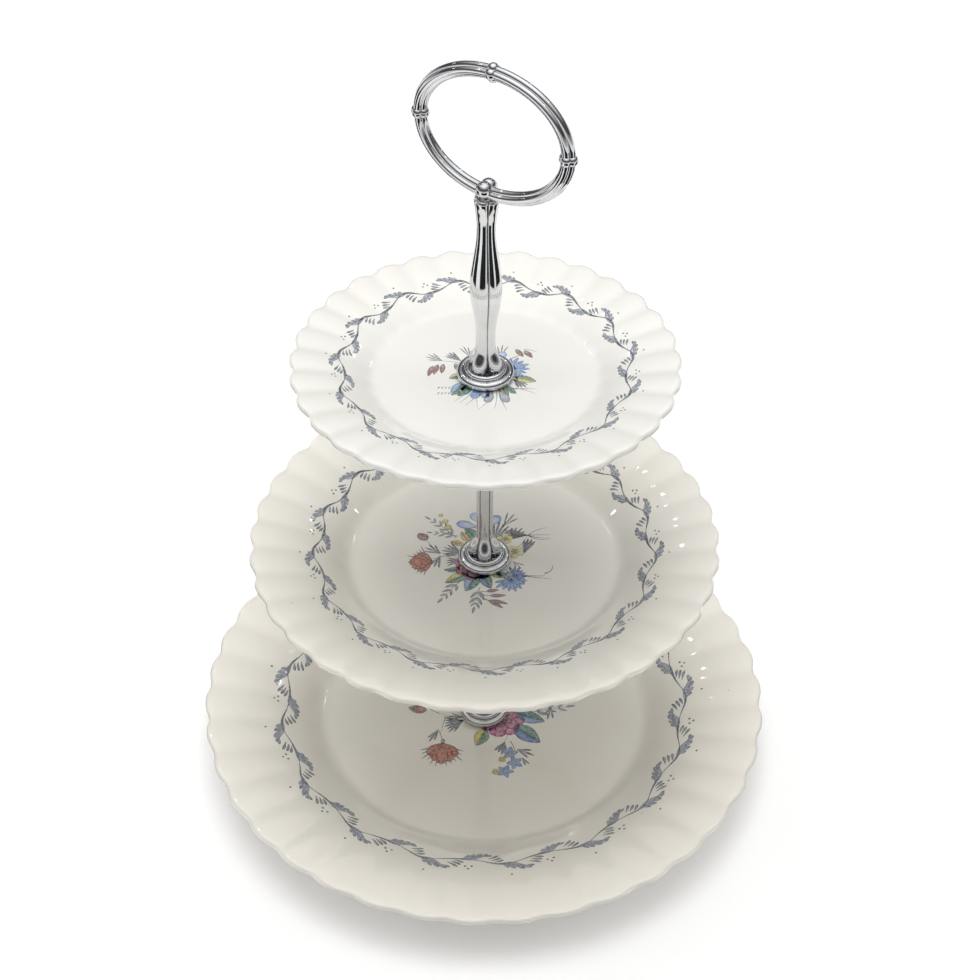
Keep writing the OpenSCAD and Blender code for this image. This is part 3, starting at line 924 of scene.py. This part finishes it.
class STAND_OT_flowers(bpy.types.Operator):
    """Paint the bouquet in the middle of each plate"""

    bl_idname = "cake_stand.flowers"
    bl_label = "Flowers"

    def execute(self, context):
        for index, paint in enumerate((bottom_flowers, middle_flowers, top_flowers)):
            tier = TIERS[index]
            brush = Brush(Dish(tier), 31 + index)
            paint(brush)
            brush.blank.piece(f"{tier}_flowers", "Painted enamel", f"{tier}_tier", "china")
        return {"FINISHED"}


# ------------------------------------------------------------------ washers


def rounded(inner, outer, low, high, ease):
    """Stations of a washer with eased edges, from its bore round to its bore."""
    return (
        arc(inner + ease, low + ease, ease, 180, 270, 4)
        + arc(outer - ease, low + ease, ease, -90, 0, 4)
        + arc(outer - ease, high - ease, ease, 0, 90, 4)
        + arc(inner + ease, high - ease, ease, 90, 180, 4)
    )


class STAND_OT_washers(bpy.types.Operator):
    """Cut the soft washers, the sleeves and the steel washer"""

    bl_idname = "cake_stand.washers"
    bl_label = "Washers"

    def execute(self, context):
        metal = settings().metal
        bore = (metal.thread + metal.play) / MM
        for tier in TIERS:
            low, high = span(f"{tier}_washer_above")
            blank = Blank()
            # A hair of clearance lets a plate's washer turn under the fixed collar
            turned(blank, rounded(bore, high[0], low[2], high[2] - 0.03, 0.2), 72)
            blank.piece(f"{tier}_upper_washer", "Soft washer", f"{tier}_tier", "soft_washer",
                        [f"{tier}_washer_above"])
            low, high = span(f"{tier}_washer_below")
            china = settings().china
            sleeve = china.hole / MM - 0.1
            shoulder = high[2] - china.thickness / MM
            stations = (
                [(bore, low[2])]
                + arc(high[0] - 0.2, low[2] + 0.2, 0.2, -90, 0, 4)
                + arc(high[0] - 0.2, shoulder - 0.2, 0.2, 0, 90, 4)
                + [(sleeve + 0.1, shoulder), (sleeve, shoulder + 0.1)]
                + arc(sleeve - 0.2, high[2] - 0.2, 0.2, 0, 90, 4)
                + [(bore, high[2])]
            )
            blank = Blank()
            turned(blank, stations, 72)
            blank.piece(f"{tier}_lower_washer", "Soft washer", f"{tier}_tier", "soft_washer",
                        [f"{tier}_washer_below"])
        low, high = span("base_washer")
        blank = Blank()
        turned(blank, rounded(bore, high[0], low[2], high[2], 0.18), 72)
        blank.piece("steel_washer", "Plated steel", "bottom_tier", "plated_steel",
                    ["base_washer"])
        return {"FINISHED"}


# ------------------------------------------------------------------- threads


def thread_stations(low, high, columns, crest, pitch):
    """Stations of a threaded shank: a helix between two heights, eased in at both ends."""
    around = np.arange(columns) / columns
    depth = 0.54 * pitch
    stations = []
    for z in np.arange(low, high + 1e-6, pitch / 8):
        phase = (z / pitch - around) % 1
        form = np.clip(1.25 - 2.5 * np.abs(phase - 0.5), 0, 1)
        ease = min(1, (high - z) / pitch)
        stations.append((crest - depth * (1 - form * (0.35 + 0.65 * ease)), z))
    return stations


class STAND_OT_threads(bpy.types.Operator):
    """Cut the two studs and the slotted base screw"""

    bl_idname = "cake_stand.threads"
    bl_label = "Studs and base screw"

    def execute(self, context):
        metal = settings().metal
        crest, pitch = metal.thread / MM - 0.01, metal.pitch / MM
        for name in ("lower", "upper"):
            low, high = span(f"{name}_stud")
            blank = Blank()
            stations = [(crest * 0.7, low[2])]
            stations += thread_stations(low[2] + 0.2, high[2] - 0.3, 28, crest, pitch)
            stations.append((crest * 0.62, high[2]))
            turned(blank, stations, 28, bored=False)
            blank.piece(f"{name}_threaded_stud", "Plated steel", f"{name}_column",
                        "plated_steel", [f"{name}_stud"])
        low, high = span("base_screw")
        head, under = high[0], span("base_washer")[0][2]
        slot, floor = 0.45, low[2] + 0.9
        blank = Blank()
        stations = [(head - 0.05, floor), (head, floor + 0.05), (head, under - 0.15),
                    (head - 0.15, under)]
        stations += thread_stations(under + 0.01, high[2] - 0.3, 28, crest, pitch)
        stations.append((crest * 0.62, high[2]))
        stations = [(np.broadcast_to(r, 56) if np.ndim(r) == 0 else np.repeat(r, 2), z)
                    for r, z in stations]
        turned(blank, stations, 56, bored=False)
        for side in (1, -1):
            rows = []
            for shrink, z in ((0, floor + 0.02), (0, low[2] + 0.45), (0.12, low[2] + 0.16),
                              (0.4, low[2])):
                reach = head - shrink
                start = math.asin((slot + shrink * 0.3) / reach)
                angle = np.linspace(start, math.pi - start, 25)
                rows.append(np.stack([reach * np.cos(angle), side * reach * np.sin(angle),
                                      np.full(25, z)], -1))
            points = np.concatenate(rows)
            faces = grid(4, 25, False)
            faces += [tuple(range(24, -1, -1)), tuple(range(75, 100))]
            blank.add(points, fan_out(faces))
        blank.piece("slotted_screw", "Plated steel", "bottom_tier", "plated_steel",
                    ["base_screw"])
        return {"FINISHED"}


def fan_out(faces):
    """Cuts faces of more than four corners into triangles."""
    cut = []
    for face in faces:
        if len(face) <= 4:
            cut.append(tuple(face))
        else:
            cut += [(face[0], face[k], face[k + 1]) for k in range(1, len(face) - 1)]
    return cut


# ------------------------------------------------------------ chrome column


class STAND_OT_collars(bpy.types.Operator):
    """Spin the three stepped collars and the two supports"""

    bl_idname = "cake_stand.collars"
    bl_label = "Collars and supports"

    def execute(self, context):
        metal = settings().metal
        bore = (metal.thread + metal.play) / MM
        lip, bead = metal.collar_lip / MM, metal.collar_bead / MM
        toe, offset = metal.toe / MM, metal.toe_offset / MM
        ring = offset + math.sqrt((toe + bead + 0.3) ** 2 - toe**2)
        for tier in TIERS:
            high = span(f"{tier}_collar")[1]
            body = f"{tier}_collar"
            base, seat = span(f"{tier}_washer_above")[1][2], high[2] - bead
            middle = base + (seat - base) * 0.44
            centre = high[0] - lip
            hollow = (ring + centre) / 2
            stations = [(bore, base + 0.1), (bore + 0.2, base), (centre - 0.6, base)]
            stations += arc(centre, middle, lip, -78, 158, 22)
            stations += [(hollow + 0.35, seat - 1.0), (hollow, seat - 1.12),
                         (hollow - 0.35, seat - 0.95)]
            stations += arc(ring, seat, bead, -38, 200, 20)
            stations += [(ring - bead - 0.35, seat - 0.3), (offset - 1.2, seat - 0.02),
                         (bore + 0.3, seat), (bore, seat - 0.2)]
            blank = Blank()
            turned(blank, stations, 144)
            blank.piece(f"{tier}_stepped_collar", "Chrome", body, "chrome", [body])
        for tier, body in (("middle", "lower_column"), ("top", "upper_column")):
            low, high = span(f"{tier}_support")
            outer, base, face = high[0], low[2], high[2]
            stations = [(bore, base + 0.1), (bore + 0.2, base), (outer * 0.58, base)]
            stations += arc(outer * 0.62, base + 0.5, 0.5, -80, 60, 6)
            stations += arc(outer - 1.6, base + 1.9, 0.9, -100, -20, 5)
            stations += arc(outer - 0.65, face - 0.65, 0.65, -60, 90, 10)
            stations += [(bore + 0.2, face), (bore, face - 0.1)]
            blank = Blank()
            turned(blank, stations, 96)
            blank.piece(f"{tier}_turned_support", "Chrome", body, "chrome", [f"{tier}_support"])
        return {"FINISHED"}


def lobe(angle, centre, radius):
    """Reach of a circle at a distance from the axis, seen along each angle from its own."""
    inside = radius**2 - (centre * np.sin(angle)) ** 2
    reach = centre * np.cos(angle) + np.sqrt(np.maximum(inside, 0))
    return np.where((inside > 0) & (np.cos(angle) > 0), reach, 0)


def merge(first, second, soft):
    """Larger of two reaches, with a soft join."""
    gap = np.maximum(soft - np.abs(first - second), 0)
    return np.maximum(first, second) + gap * gap / (4 * soft)


def quarters(columns):
    """Angle of each column from the middle of its own quarter turn."""
    return (angles_round(columns) + math.pi / 4) % (math.pi / 2) - math.pi / 4


def footed(height, quarter, shaft, narrow):
    """Reach of four toes and the shaft above them, at a height over the collar's seat.

    shaft is the shaft's own reach round its section, and narrow the radius and
    offset that each toe draws in to at the top of its flare.
    """
    metal = settings().metal
    toe, offset, flare = metal.toe / MM, metal.toe_offset / MM, metal.toe_flare / MM
    if height > toe + flare:
        return shaft
    rise = smooth_step((height - toe) / flare)
    centre = offset + (narrow[1] - offset) * rise
    if height < toe:
        radius = math.sqrt(max(toe**2 - (toe - height) ** 2, 0))
    else:
        radius = toe + (narrow[0] - toe) * rise
    web = offset - 0.9 * smooth_step((height - 1.2) / (flare * 0.8))
    core = np.maximum(shaft, web * (1 - smooth_step((height - flare * 0.5) / (flare * 0.6))))
    return merge(core, lobe(quarter, centre, radius), 0.25)


def solid_shaft(outer, socket, socket_top, stud, stud_low):
    """Stations of a shaft with a blind socket below and a hole for a stud above."""
    low, high = outer[0][1], outer[-1][1]
    stations = [(socket * 0.02, socket_top), (socket, socket_top - 0.4), (socket, low + 0.2),
                (socket + 0.2, low)]
    stations += outer
    if stud:
        stations += [(stud + 0.15, high), (stud, high - 0.15), (stud, stud_low + 0.4),
                     (stud * 0.02, stud_low)]
    return stations


class STAND_OT_rods(bpy.types.Operator):
    """Cast the two reeded rods with their four toes"""

    bl_idname = "cake_stand.rods"
    bl_label = "Reeded rods"

    # Least radius between two reeds
    core = 2.3

    def execute(self, context):
        metal = settings().metal
        reed, offset = metal.reed / MM, metal.reed_offset / MM
        toe, flare = metal.toe / MM, metal.toe_flare / MM
        socket = (metal.thread + metal.play) / MM
        columns = 144
        quarter = quarters(columns)
        reeds = np.maximum(lobe(quarter, offset, reed), self.core)
        for name in ("lower", "upper"):
            low, high = span(f"{name}_rod")
            stud_low = span(f"{name}_stud")[0][2]
            heights = np.concatenate([
                [0.01, 0.12, 0.3], np.arange(0.6, toe + flare + 0.5, 0.34),
                np.linspace(toe + flare + 1.5, high[2] - low[2] - 0.3, 12),
            ])
            outer = [(footed(h, quarter, reeds, (reed, offset)), low[2] + h) for h in heights]
            outer.append((reeds - 0.22, high[2]))
            blank = Blank()
            stations = solid_shaft(outer, socket, low[2] + 8, metal.thread / MM, stud_low)
            # The bottoms of the grooves are marked for painted shade
            turned(blank, stations, columns, bored=False, mark=valleys)
            blank.piece(f"{name}_reeded_rod", "Chrome", f"{name}_column", "chrome",
                        [f"{name}_rod"])
        return {"FINISHED"}


# Heights, as shares of the whole, and radii of the stem's necks and swells
STEM_PROFILE = ((0, 4.3), (0.21, 3.9), (0.49, 6.45), (0.83, 3.6), (1, 4.6))


def stem_reach(share):
    """Radius of the handle's stem at a share of its height."""
    for (a, low), (b, high) in zip(STEM_PROFILE, STEM_PROFILE[1:]):
        if share <= b:
            t = (share - a) / (b - a)
            return low + (high - low) * (1 - math.cos(math.pi * t)) / 2
    return STEM_PROFILE[-1][1]


class STAND_OT_handle(bpy.types.Operator):
    """Cast the lobed stem, and bend and bead the oval ring"""

    bl_idname = "cake_stand.handle"
    bl_label = "Handle"

    def execute(self, context):
        self.stem()
        self.ring()
        return {"FINISHED"}

    def stem(self):
        """The stem: four toes, two necks and a swelling between them, with four grooves."""
        metal = settings().metal
        low, high = span("handle_stem")
        tall = high[2] - low[2]
        reed, offset = metal.reed / MM, metal.reed_offset / MM
        socket = (metal.thread + metal.play) / MM
        columns = 160
        quarter = quarters(columns)
        # Sharp valleys half-way between the toes, soft crowns over them
        valley = (np.abs(quarter) / (math.pi / 4)) ** 3.2
        heights = np.concatenate([[0.01, 0.12, 0.3], np.arange(0.6, 14, 0.34),
                                  np.linspace(14.2, tall - 1.2, 96),
                                  [tall - 0.7, tall - 0.3, tall]])
        outer = []
        for h in heights:
            share = h / tall
            swell = math.exp(-(((share - 0.49) / 0.22) ** 2))
            bloom = smooth_step((share - 0.93) / 0.07)
            depth = metal.groove / MM * (0.55 + 0.45 * swell) + 0.5 * bloom
            shaft = stem_reach(share) + 0.2 - depth * valley + 0.25 * bloom
            shaft = shaft - 0.5 * smooth_step((share - 0.985) / 0.015)
            shaft = np.maximum(shaft, 2.4)
            outer.append((footed(h, quarter, shaft, (reed, offset)), low[2] + h))
        blank = Blank()
        stations = solid_shaft(outer, socket, low[2] + 8, 0, 0)
        stations += [(2.6, high[2] - 0.2), (0.6, high[2] - 1.2)]
        # The bottoms of the grooves are marked for painted shade
        turned(blank, stations, columns, metal.handle_turn, bored=False, mark=valleys)
        blank.piece("lobed_stem", "Chrome", "handle", "chrome", ["handle_stem"])

    def ring(self):
        """The ring: an oval of four strands, with beads at its sides, top and foot."""
        metal = settings().metal
        turn, shift = metal.handle_turn, metal.ring_shift / MM
        wide, tall = metal.ring_wide / MM, metal.ring_tall / MM
        strand, away = metal.strand / MM, metal.strand_offset / MM
        bead, heart, knob = metal.bead / MM, metal.heart / MM, metal.knob / MM
        foot = span("handle_ring")[0][2] + 4.4
        across = np.array([math.cos(turn), math.sin(turn), 0])
        centre = across * shift + np.array([0, 0, foot + tall])
        through = np.array([-math.sin(turn), math.cos(turn), 0])
        up = np.array([0, 0, 1.0])

        def on_oval(t):
            """Place on the oval, and the way out of it there."""
            place = across * (wide * math.cos(t)) + up * (tall * math.sin(t))
            out = across * (tall * math.cos(t)) + up * (wide * math.sin(t))
            return centre + place, out / np.linalg.norm(out)

        blank = Blank()
        count, sides = 220, 16
        for shift_out, shift_through in ((away, 0), (-away, 0), (0, away), (0, -away)):
            points, marks = [], []
            for k in range(count):
                place, out = on_oval(k / count * FULL_TURN)
                middle = place + out * shift_out + through * shift_through
                for j in range(sides):
                    a = j / sides * FULL_TURN
                    points.append(middle + strand * (math.cos(a) * out + math.sin(a) * through))
                    # Painted shade on the side of each strand that faces the middle of the bundle
                    inward = -(math.cos(a) * shift_out + math.sin(a) * shift_through) / away
                    marks.append(smooth_step((inward - 0.2) / 0.45))
            blank.add(points, grid(count, sides, True), marks=marks)
        blank.piece("ring_strands", "Chrome", "handle", "chrome", ["handle_ring"])
        blank = Blank()
        for t in (0, math.pi / 2, math.pi):
            place, out = on_oval(t)
            for step in (out, -out, through, -through):
                ball(blank, place + step * 1.55, bead)
            ball(blank, place, heart)
        base = np.array([0, 0, foot])
        for step in (up * 1.5 - through * 1.5, up * 1.5 + through * 1.5, -up * 1.2):
            ball(blank, base + step, knob, 18, 32)
        for side in (across, -across):
            ball(blank, base + side * 2.3 + up * 0.4, bead)
        blank.piece("ring_beads", "Chrome", "handle", "chrome")


# ------------------------------------------------------------------ finishes


class Wire:
    """Output of a shader node, so that sums on it read as sums."""

    def __init__(self, recipe, socket):
        self.recipe = recipe
        self.socket = socket

    def sum(self, operation, first, second):
        """A maths node on two values."""
        return self.recipe.node("ShaderNodeMath", {"operation": operation},
                                {0: first, 1: second})

    def __add__(self, other):
        return self.sum("ADD", self, other)

    def __mul__(self, other):
        return self.sum("MULTIPLY", self, other)

    def __rsub__(self, other):
        return self.sum("SUBTRACT", other, self)


class Recipe:
    """A material or a world being made up from nodes."""

    def __init__(self, owner, place="Object"):
        owner.use_nodes = True
        self.tree = owner.node_tree
        self.tree.nodes.clear()
        self.place = self.node("ShaderNodeTexCoord", output=place)

    def node(self, kind, choices=None, sockets=None, output=0):
        """A node of a kind, with its choices set first, then its values and links."""
        made = self.tree.nodes.new(kind)
        for key, value in (choices or {}).items():
            setattr(made, key, value)
        for key, value in (sockets or {}).items():
            if isinstance(value, Wire):
                self.tree.links.new(value.socket, made.inputs[key])
            else:
                made.inputs[key].default_value = value
        return Wire(self, made.outputs[output]) if made.outputs else None

    def noise(self, scale, detail=3.0, roughness=0.5):
        """Cloudy noise at so many features to the metre."""
        return self.node("ShaderNodeTexNoise", None, {
            "Vector": self.place, "Scale": scale, "Detail": detail, "Roughness": roughness})

    def between(self, value, low, high, start=0.0, end=1.0):
        """The value moved from one range to another, and kept inside it."""
        return self.node("ShaderNodeMapRange", {"interpolation_type": "SMOOTHSTEP"}, {
            "Value": value, "From Min": low, "From Max": high, "To Min": start, "To Max": end})

    def blend(self, share, first, second, mode="MIX"):
        """Two colours blended by a share."""
        first, second = (c if isinstance(c, Wire) else (*c, 1.0) for c in (first, second))
        return self.node("ShaderNodeMix", {"data_type": "RGBA", "blend_type": mode},
                         {0: share, 6: first, 7: second}, output=2)

    def mark(self, name, output="Fac"):
        """A share or a colour that is kept at the points of the mesh."""
        return self.node("ShaderNodeAttribute", {"attribute_name": name}, output=output)

    def ripple(self):
        """The slow ripple of the glaze, as a bump."""
        return self.bump(self.noise(38, 2) * 0.7 + self.noise(160, 2) * 0.12, 0.25, 0.0006)

    def bump(self, height, strength, distance):
        """A bump of a height between 0 and 1, over a distance in metres."""
        return self.node("ShaderNodeBump", None, {
            "Height": height, "Strength": strength, "Distance": distance})

    def surface(self, **sockets):
        """Ends the material with its surface."""
        names = {key.replace("_", " "): value for key, value in sockets.items()}
        skin = self.node("ShaderNodeBsdfPrincipled", None, names)
        self.node("ShaderNodeOutputMaterial", None, {"Surface": skin})


def finish(name):
    """A new material, ready to be made up."""
    return Recipe(bpy.data.materials.new(name))


def tinted(colour_in, *factors):
    """A colour with each channel changed by its own factor."""
    return tuple(c * factor for c, factor in zip(colour_in, factors))


def china_finish(finishes):
    """Cream glaze with a few specks, and bare china where the foot is marked."""
    recipe = finish("Glazed china")
    cloud = recipe.noise(14, 4, 0.55)
    warm = recipe.blend(recipe.between(cloud, 0.35, 0.7), tuple(finishes.china),
                        tinted(finishes.china, 0.965, 0.955, 0.93))
    # Below 0.15 m, on the two lower plates, the china is a little darker and creamier than on the
    # top one
    level = recipe.node("ShaderNodeSeparateXYZ", None, {"Vector": recipe.place}, output="Z")
    warm = recipe.blend(recipe.between(level, 0.15, 0.2, 0.55, 0.0), warm,
                        tinted(finishes.china, 0.975, 0.935, 0.865))
    specks = recipe.node("ShaderNodeTexVoronoi", None, {
        "Vector": recipe.place, "Scale": 150.0, "Randomness": 1.0})
    sparse = recipe.between(recipe.noise(70, 1), 0.66, 0.7)
    speck = (1 - recipe.between(specks, 0.035, 0.07)) * sparse * 0.55
    spotted = recipe.blend(speck, warm, screen(150, 130, 104))
    foot = recipe.mark("mark")
    body = recipe.blend(foot, spotted, tuple(finishes.bare))
    gloss = recipe.between(recipe.noise(26, 5, 0.6), 0.4, 0.8, 0.045, 0.12)
    recipe.surface(
        Base_Color=body, Roughness=gloss + foot * 0.5, IOR=1.52,
        Coat_Weight=1 - foot, Coat_Roughness=0.025, Coat_IOR=1.5, Normal=recipe.ripple(),
    )


def enamel_finish(finishes):
    """Painted colours that the china shows through unevenly."""
    recipe = finish("Painted enamel")
    wash = recipe.between(recipe.noise(900, 3, 0.6), 0.3, 0.75, 0.0, 0.38)
    pale = recipe.blend(wash, recipe.mark("paint", "Color"), tuple(finishes.china))
    gloss = recipe.between(recipe.noise(500, 2), 0.3, 0.8, 0.08, 0.2)
    recipe.surface(
        Base_Color=pale, Roughness=gloss, IOR=1.5, Coat_Weight=0.8, Coat_Roughness=0.04,
        Normal=recipe.ripple(),
    )


def chrome_finish(finishes):
    """Bright plating with smears, film and hairline scratches; its grooves are rougher and
    darkened by painted shade.
    """
    recipe = finish("Chrome")
    smear = recipe.between(recipe.noise(60, 5, 0.65), 0.42, 0.75)
    film = recipe.between(recipe.noise(420, 3, 0.6), 0.45, 0.8)
    stretched = recipe.node("ShaderNodeMapping", {"vector_type": "TEXTURE"}, {
        "Vector": recipe.place, "Scale": (1.0, 1.0, 14.0)})
    hair = recipe.node("ShaderNodeTexNoise", None, {
        "Vector": stretched, "Scale": 2600.0, "Detail": 2.0})
    scratch = recipe.between(hair, 0.68, 0.74)
    dull = smear * 0.05 + film * 0.03 + scratch * 0.08
    clean = recipe.blend(smear * 0.3, tuple(finishes.chrome), screen(184, 180, 174))
    # Painted shade: the marked grooves and the strands' inner sides turn dark grey
    groove = recipe.mark("mark")
    tone = recipe.blend(groove * recipe.between(film, 0.0, 0.6, 0.95, 0.75), clean,
                        screen(52, 52, 56))
    waves = recipe.noise(240, 2) * 0.5 + scratch * 0.12
    recipe.surface(
        Base_Color=tone, Metallic=1.0, Roughness=dull + groove * 0.25 + 0.025,
        Normal=recipe.bump(waves, 0.12, 0.0003),
    )


def steel_finish(finishes):
    """Duller plating, grimy in places."""
    recipe = finish("Plated steel")
    cloud = recipe.noise(700, 4, 0.6)
    tone = recipe.blend(recipe.between(cloud, 0.35, 0.7), tuple(finishes.steel),
                        screen(150, 152, 158))
    grime = recipe.between(recipe.noise(260, 3), 0.6, 0.75, 0.0, 0.5)
    worn = recipe.blend(grime, tone, screen(92, 86, 76))
    recipe.surface(
        Base_Color=worn, Metallic=recipe.between(grime, 0.0, 0.5, 1.0, 0.7),
        Roughness=recipe.between(cloud, 0.3, 0.75, 0.24, 0.42),
        Normal=recipe.bump(recipe.noise(2400, 3), 0.2, 0.0002),
    )


def soft_finish(finishes):
    """Pale matt fibre of the washers."""
    recipe = finish("Soft washer")
    fibre = recipe.noise(1800, 5, 0.7)
    tone = recipe.blend(recipe.between(fibre, 0.3, 0.75), tuple(finishes.soft),
                        screen(200, 192, 172))
    recipe.surface(
        Base_Color=tone, Roughness=recipe.between(fibre, 0.3, 0.7, 0.7, 0.9),
        Normal=recipe.bump(fibre, 0.4, 0.0003),
    )


def floor_finish(finishes):
    """Pale floor that glows a little, most of all far from the stand."""
    recipe = finish("Studio floor")
    grain = recipe.noise(900, 3)
    tone = recipe.blend(recipe.between(grain, 0.3, 0.7), tuple(finishes.floor),
                        tinted(finishes.floor, 0.985, 0.985, 0.985))
    away = recipe.node("ShaderNodeVectorMath", {"operation": "LENGTH"}, {0: recipe.place},
                       output="Value")
    glow = recipe.blend(recipe.between(away, 0.25, 1.2), screen(160, 160, 162), (1, 1, 1))
    recipe.surface(
        Base_Color=tone, Roughness=recipe.between(grain, 0.3, 0.7, 0.7, 0.8),
        Emission_Color=glow, Emission_Strength=0.3,
    )


class STAND_OT_finishes(bpy.types.Operator):
    """Mix the finishes: glaze, enamel, chrome, plated steel, soft washer and floor"""

    bl_idname = "cake_stand.finishes"
    bl_label = "Finishes"

    def execute(self, context):
        for mix in (china_finish, enamel_finish, chrome_finish, steel_finish, soft_finish,
                    floor_finish):
            mix(settings().finishes)
        finish("Dark card").surface(Base_Color=(0.004, 0.004, 0.004, 1), Roughness=0.9)
        return {"FINISHED"}


# --------------------------------------------------------------------- stage


def softbox(name, place, target, width, depth, power):
    """A rectangular soft light that faces a point."""
    lamp = bpy.data.lights.new(name, "AREA")
    lamp.shape = "RECTANGLE"
    lamp.size, lamp.size_y = width, depth
    lamp.energy = power
    made = bpy.data.objects.new(name, lamp)
    made.location = place
    made.rotation_euler = (Vector(target) - Vector(place)).to_track_quat("-Z", "Y").to_euler()
    bpy.context.collection.objects.link(made)
    return made


def stage_mesh(name, points, faces, material):
    """A mesh of the stage, in metres, that is no part of the stand."""
    mesh = bpy.data.meshes.new(name)
    mesh.from_pydata(points, [], faces)
    mesh.materials.append(bpy.data.materials[material])
    made = bpy.data.objects.new(name, mesh)
    bpy.context.collection.objects.link(made)
    return made


# Half the floor's side, then the inner and outer radius of the cards on it, in metres
FLOOR_REACH = 6.0
CARD_REACH = (0.15, 1.4)
# First and last angle of each card, in degrees
CARDS = ((-128, -52), (-30, 22), (62, 112), (150, 200))
# Small lamps that leave points of light on glaze and chrome, in metres
SPARKS = ((-0.9, 0.5, 0.9), (0.9, 0.5, 0.9), (0.5, 0.9, 1.0), (-0.3, 0.8, 1.1),
          (-0.7, 0.1, 1.1), (0.6, 0.0, 1.2))
# Light of the room from its floor to its ceiling
ROOM = ((0.0, 0.5), (0.25, 0.05), (0.5, 0.1), (0.8, 0.72), (1.0, 1.6))
# Where the camera stands, in metres, its tilt and roll, and its lens in millimetres
EYE = (0, -0.52675, 0.61826)
TILT, ROLL = math.radians(48.58), 0.005
LENS, SENSOR, SIDE_SHIFT = 59.558, 36.0, 0.0052


class STAND_OT_stage(bpy.types.Operator):
    """Set the pale floor, the dark cards, the lights, the room and the camera"""

    bl_idname = "cake_stand.stage"
    bl_label = "Stage"

    def execute(self, context):
        self.ground()
        self.lights()
        self.room(context)
        self.camera(context)
        context.scene.view_settings.view_transform = "Standard"
        return {"FINISHED"}

    def ground(self):
        """The floor, and dark cards on it that only the chrome's reflections show."""
        corners = [(x * FLOOR_REACH, y * FLOOR_REACH, 0)
                   for x, y in ((-1, -1), (1, -1), (1, 1), (-1, 1))]
        stage_mesh("floor", corners, [(0, 1, 2, 3)], "Studio floor")
        for start, end in CARDS:
            angles = np.radians(np.linspace(start, end, 12))
            points = [(r * math.cos(a), r * math.sin(a), 0.001) for r in CARD_REACH
                      for a in angles]
            card = stage_mesh(f"card_{start + 200}", points, grid(2, 12, False, False),
                              "Dark card")
            card.visible_camera = False
            card.visible_diffuse = False
            card.visible_shadow = False
            card.visible_transmission = False

    def lights(self):
        """One soft light overhead, one to each side, and the small lamps."""
        finishes = settings().finishes
        overhead = softbox("overhead", (-0.05, 0.12, 1.2), (0, 0, 0.1), 0.9, 0.9, finishes.key)
        overhead.visible_glossy = False
        for side in (-1, 1):
            broad = softbox(f"fill_{side + 1}", (1.3 * side, 0, 0.75), (0, 0, 0.15), 0.5, 0.9,
                            finishes.fill)
            broad.visible_glossy = False
        for index, place in enumerate(SPARKS):
            softbox(f"spark_{index}", place, (0, 0, 0.15), 0.035, 0.06, finishes.fill * 0.03)

    def camera(self, context):
        """The camera, which looks down on the stand from its front."""
        camera = bpy.data.objects.new("camera", bpy.data.cameras.new("camera"))
        camera.data.sensor_width = SENSOR
        camera.data.lens = LENS
        camera.data.shift_x = SIDE_SHIFT
        camera.location = EYE
        camera.rotation_euler = (TILT, -ROLL * math.sin(TILT), ROLL * math.cos(TILT))
        context.collection.objects.link(camera)
        context.scene.camera = camera

    def room(self, context):
        """White to the camera; to all else a room that darkens towards its walls."""
        world = bpy.data.worlds.new("studio")
        recipe = Recipe(world, "Generated")
        height = recipe.node("ShaderNodeSeparateXYZ", None, {0: recipe.place}, output="Z")
        shade = recipe.node("ShaderNodeValToRGB", None, {"Fac": height})
        stops = shade.socket.node.color_ramp.elements
        for at, _ in ROOM[1:-1]:
            stops.new(at)
        for stop, (at, level) in zip(stops, ROOM):
            stop.position = at
            stop.color = (level, level, level, 1)
        walls = recipe.node("ShaderNodeBackground", None, {"Color": shade})
        white = recipe.node("ShaderNodeBackground", None, {"Color": (1, 1, 1, 1)})
        seen = recipe.node("ShaderNodeLightPath", output="Is Camera Ray")
        choice = recipe.node("ShaderNodeMixShader", None, {0: seen, 1: walls, 2: white})
        recipe.node("ShaderNodeOutputWorld", None, {"Surface": choice})
        context.scene.world = world


# --------------------------------------------------------------------- panel

STEPS = (
    STAND_OT_finishes, STAND_OT_plates, STAND_OT_vines, STAND_OT_flowers, STAND_OT_washers,
    STAND_OT_threads, STAND_OT_collars, STAND_OT_rods, STAND_OT_handle, STAND_OT_stage,
)


class STAND_PT_panel(bpy.types.Panel):
    """Lists the steps and settings of the cake stand"""

    bl_idname = "STAND_PT_panel"
    bl_label = "Cake stand"
    bl_space_type = "VIEW_3D"
    bl_region_type = "UI"
    bl_category = "Cake stand"

    def draw(self, context):
        for step in STEPS:
            self.layout.operator(step.bl_idname)
        stand = context.scene.cake_stand
        for group in (stand.china, stand.painting, stand.metal, stand.finishes):
            box = self.layout.box()
            for name in group.bl_rna.properties.keys():
                if name not in {"rna_type", "name"}:
                    box.prop(group, name)


CLASSES = (StandChina, StandPainting, StandMetal, StandFinishes, StandSettings, *STEPS,
           STAND_PT_panel)


def register():
    for each in CLASSES:
        bpy.utils.register_class(each)
    bpy.types.Scene.cake_stand = PointerProperty(type=StandSettings)


def unregister():
    del bpy.types.Scene.cake_stand
    for each in reversed(CLASSES):
        bpy.utils.unregister_class(each)


def main():
    register()
    for step in STEPS:
        group, name = step.bl_idname.split(".")
        getattr(getattr(bpy.ops, group), name)()


if __name__ == "__main__":
    main()
